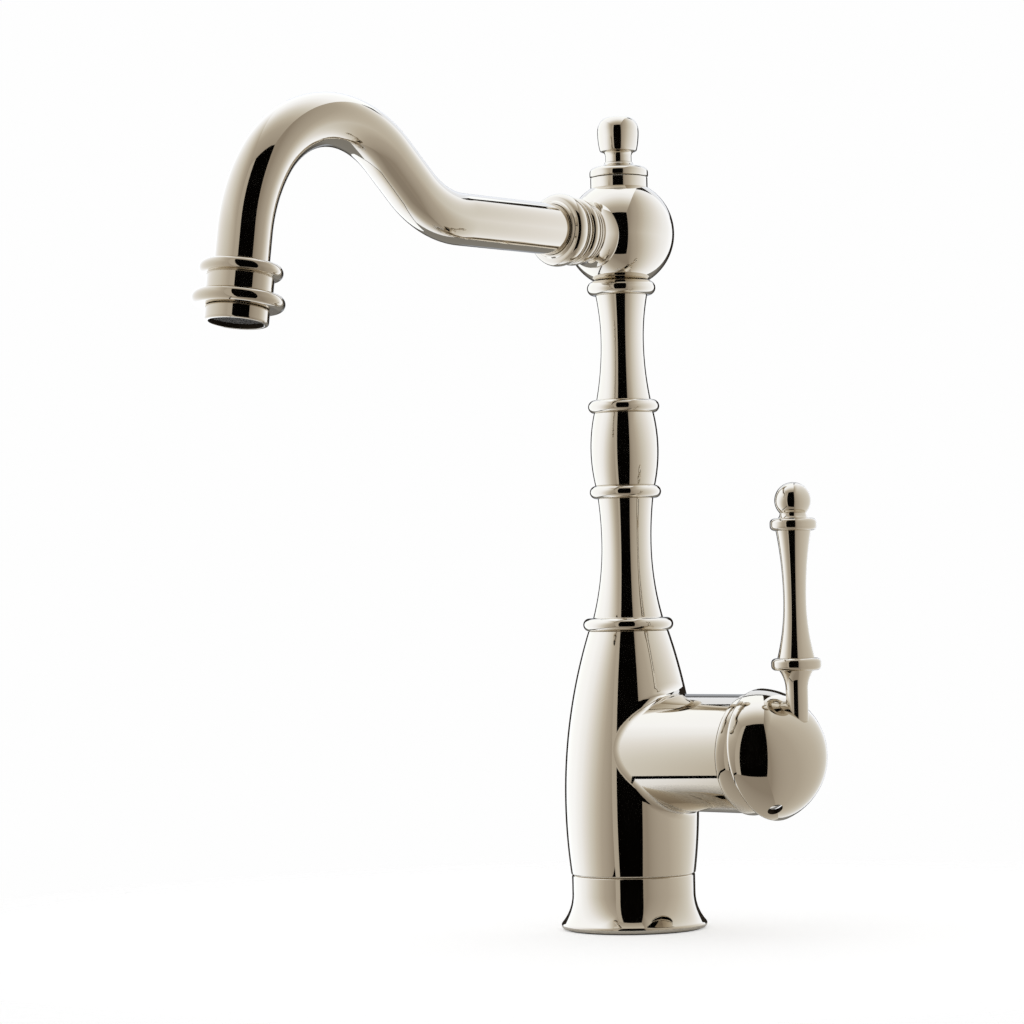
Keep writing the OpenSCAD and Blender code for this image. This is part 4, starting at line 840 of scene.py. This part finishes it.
def tent_side(name, corners, start, fades=EVEN, fall=0.0, middle=0.0, gain=1.0):
    """One side of the tent. Only reflections show it: the camera looks through it and it lights nothing else.

    Its glow follows FADE along the direction fades, from start on, and also falls by that much per
    metre above and below the middle height. The gain is the side's own strength.
    """
    mat = bpy.data.materials.new(name + "_cloth")
    mat.use_nodes = True
    mat.cycles.emission_sampling = "NONE"
    tree = mat.node_tree
    tree.nodes.clear()
    place = add(tree, "ShaderNodeTexCoord").outputs["Object"]
    along = add(tree, "ShaderNodeVectorMath", {"operation": "DOT_PRODUCT", 1: tuple(fades)}, _0=place)
    height = add(tree, "ShaderNodeSeparateXYZ", Vector=place).outputs["Z"]
    off_middle = calc(tree, "ABSOLUTE", calc(tree, "SUBTRACT", height, middle))
    depth = calc(tree, "ADD", along.outputs["Value"], calc(tree, "MULTIPLY", off_middle, fall))
    low, high = FADE[0][0], FADE[-1][0]
    at = add(tree, "ShaderNodeMapRange", {"From Min": low - start, "From Max": high - start},
             Value=depth)
    # What the cloth gives for the metal to show that colour
    stops = [((d - low) / (high - low), [min(c / m / LAMP, 1.0) for c, m in zip(linear(shade), METAL)])
             for d, shade in FADE]
    cloth = add(tree, "ShaderNodeEmission", {"Strength": LAMP * gain},
                Color=ramp(tree, stops, at.outputs["Result"]))
    path = add(tree, "ShaderNodeLightPath")
    mix = add(tree, "ShaderNodeMixShader", _0=path.outputs["Is Glossy Ray"],
              _1=add(tree, "ShaderNodeBsdfTransparent").outputs[0], _2=cloth.outputs[0])
    add(tree, "ShaderNodeOutputMaterial", Surface=mix.outputs[0])
    mesh = bpy.data.meshes.new(name)
    mesh.from_pydata([tuple(u * ACROSS + v * TOWARDS + z * UP) for u, v, z in corners], [], [(0, 1, 2, 3)])
    mesh.materials.append(mat)
    side = bpy.data.objects.new(name, mesh)
    bpy.context.scene.collection.objects.link(side)


def studio_world():
    """Paper white to the camera, soft white light for the floor, and the dark room behind the open tent."""
    world = bpy.data.worlds.new("studio")
    world.use_nodes = True
    bpy.context.scene.world = world
    tree = world.node_tree
    tree.nodes.clear()
    way = add(tree, "ShaderNodeTexCoord").outputs["Generated"]
    ahead = add(tree, "ShaderNodeVectorMath", {"operation": "DOT_PRODUCT", 1: tuple(TOWARDS)}, _0=way)
    height = add(tree, "ShaderNodeSeparateXYZ", Vector=way).outputs["Z"]
    # Behind: a dark wall above and a grey floor below
    behind = ramp(tree, [(0.30, linear("#8F8E8B")), (0.46, linear("#2C2722"))],
                  calc(tree, "MULTIPLY", calc(tree, "ADD", height, 1.0), 0.5))
    room = add(tree, "ShaderNodeMix", {"data_type": "RGBA", 7: linear("#040302")})
    tree.links.new(calc(tree, "GREATER_THAN", ahead.outputs["Value"], 0.0), room.inputs[0])
    tree.links.new(behind, room.inputs[6])
    dark = add(tree, "ShaderNodeBackground", {"Strength": 1.0}, Color=room.outputs[2])
    soft = add(tree, "ShaderNodeBackground", {"Color": linear("#E4E4E4"), "Strength": 1.0})
    paper = add(tree, "ShaderNodeBackground", {"Color": linear("#FEFEFE"), "Strength": 1.0})
    path = add(tree, "ShaderNodeLightPath")
    seen = add(tree, "ShaderNodeMixShader", _0=path.outputs["Is Glossy Ray"], _1=soft.outputs[0],
               _2=dark.outputs[0])
    mix = add(tree, "ShaderNodeMixShader", _0=path.outputs["Is Camera Ray"], _1=seen.outputs[0],
              _2=paper.outputs[0])
    add(tree, "ShaderNodeOutputWorld", Surface=mix.outputs[0])


def pale_floor(radius=0.4, glow=0.42, near=(0.036, 0.06), edge=(0.22, 0.38), count=96):
    """White card: the camera sees it paper white with the faucet's soft shadow on it.

    The metal shows it only as far out as near, and for the camera it fades away over edge, in metres.
    """
    rim = [(radius * math.cos(a), radius * math.sin(a), 0) for a in np.arange(count) * 2 * math.pi / count]
    mesh = bpy.data.meshes.new("floor")
    mesh.from_pydata([(0, 0, 0)] + rim, [], [(0, i + 1, (i + 1) % count + 1) for i in range(count)])
    floor = bpy.data.objects.new("floor", mesh)
    bpy.context.scene.collection.objects.link(floor)
    mat = bpy.data.materials.new("white_card")
    mat.use_nodes = True
    tree = mat.node_tree
    tree.nodes.clear()
    card = add(tree, "ShaderNodeBsdfDiffuse", {"Color": linear("#E6E6E6")})
    light = add(tree, "ShaderNodeEmission", {"Color": linear("#FFFFFF"), "Strength": glow})
    both = add(tree, "ShaderNodeAddShader", _0=card.outputs[0], _1=light.outputs[0])
    path = add(tree, "ShaderNodeLightPath")
    white = add(tree, "ShaderNodeMixShader", _0=path.outputs["Is Camera Ray"], _1=card.outputs[0],
                _2=both.outputs[0])
    far = add(tree, "ShaderNodeVectorMath", {"operation": "LENGTH"},
              _0=add(tree, "ShaderNodeTexCoord").outputs["Object"]).outputs["Value"]
    lost = add(tree, "ShaderNodeMapRange", {"From Min": near[0], "From Max": near[1]}, Value=far).outputs[0]
    melt = add(tree, "ShaderNodeMapRange", {"From Min": edge[0], "From Max": edge[1]}, Value=far).outputs[0]
    gone = calc(tree, "ADD", calc(tree, "MULTIPLY", lost, path.outputs["Is Glossy Ray"]),
                calc(tree, "MULTIPLY", melt, path.outputs["Is Camera Ray"]))
    clear = add(tree, "ShaderNodeBsdfTransparent")
    final = add(tree, "ShaderNodeMixShader", _0=gone, _1=white.outputs[0], _2=clear.outputs[0])
    add(tree, "ShaderNodeOutputMaterial", Surface=final.outputs[0])
    mesh.materials.append(mat)


studio_world()
for side, plan in SIDES.items():
    tent_side(side, **plan)
pale_floor()

bpy.context.scene.view_settings.view_transform = "Standard"
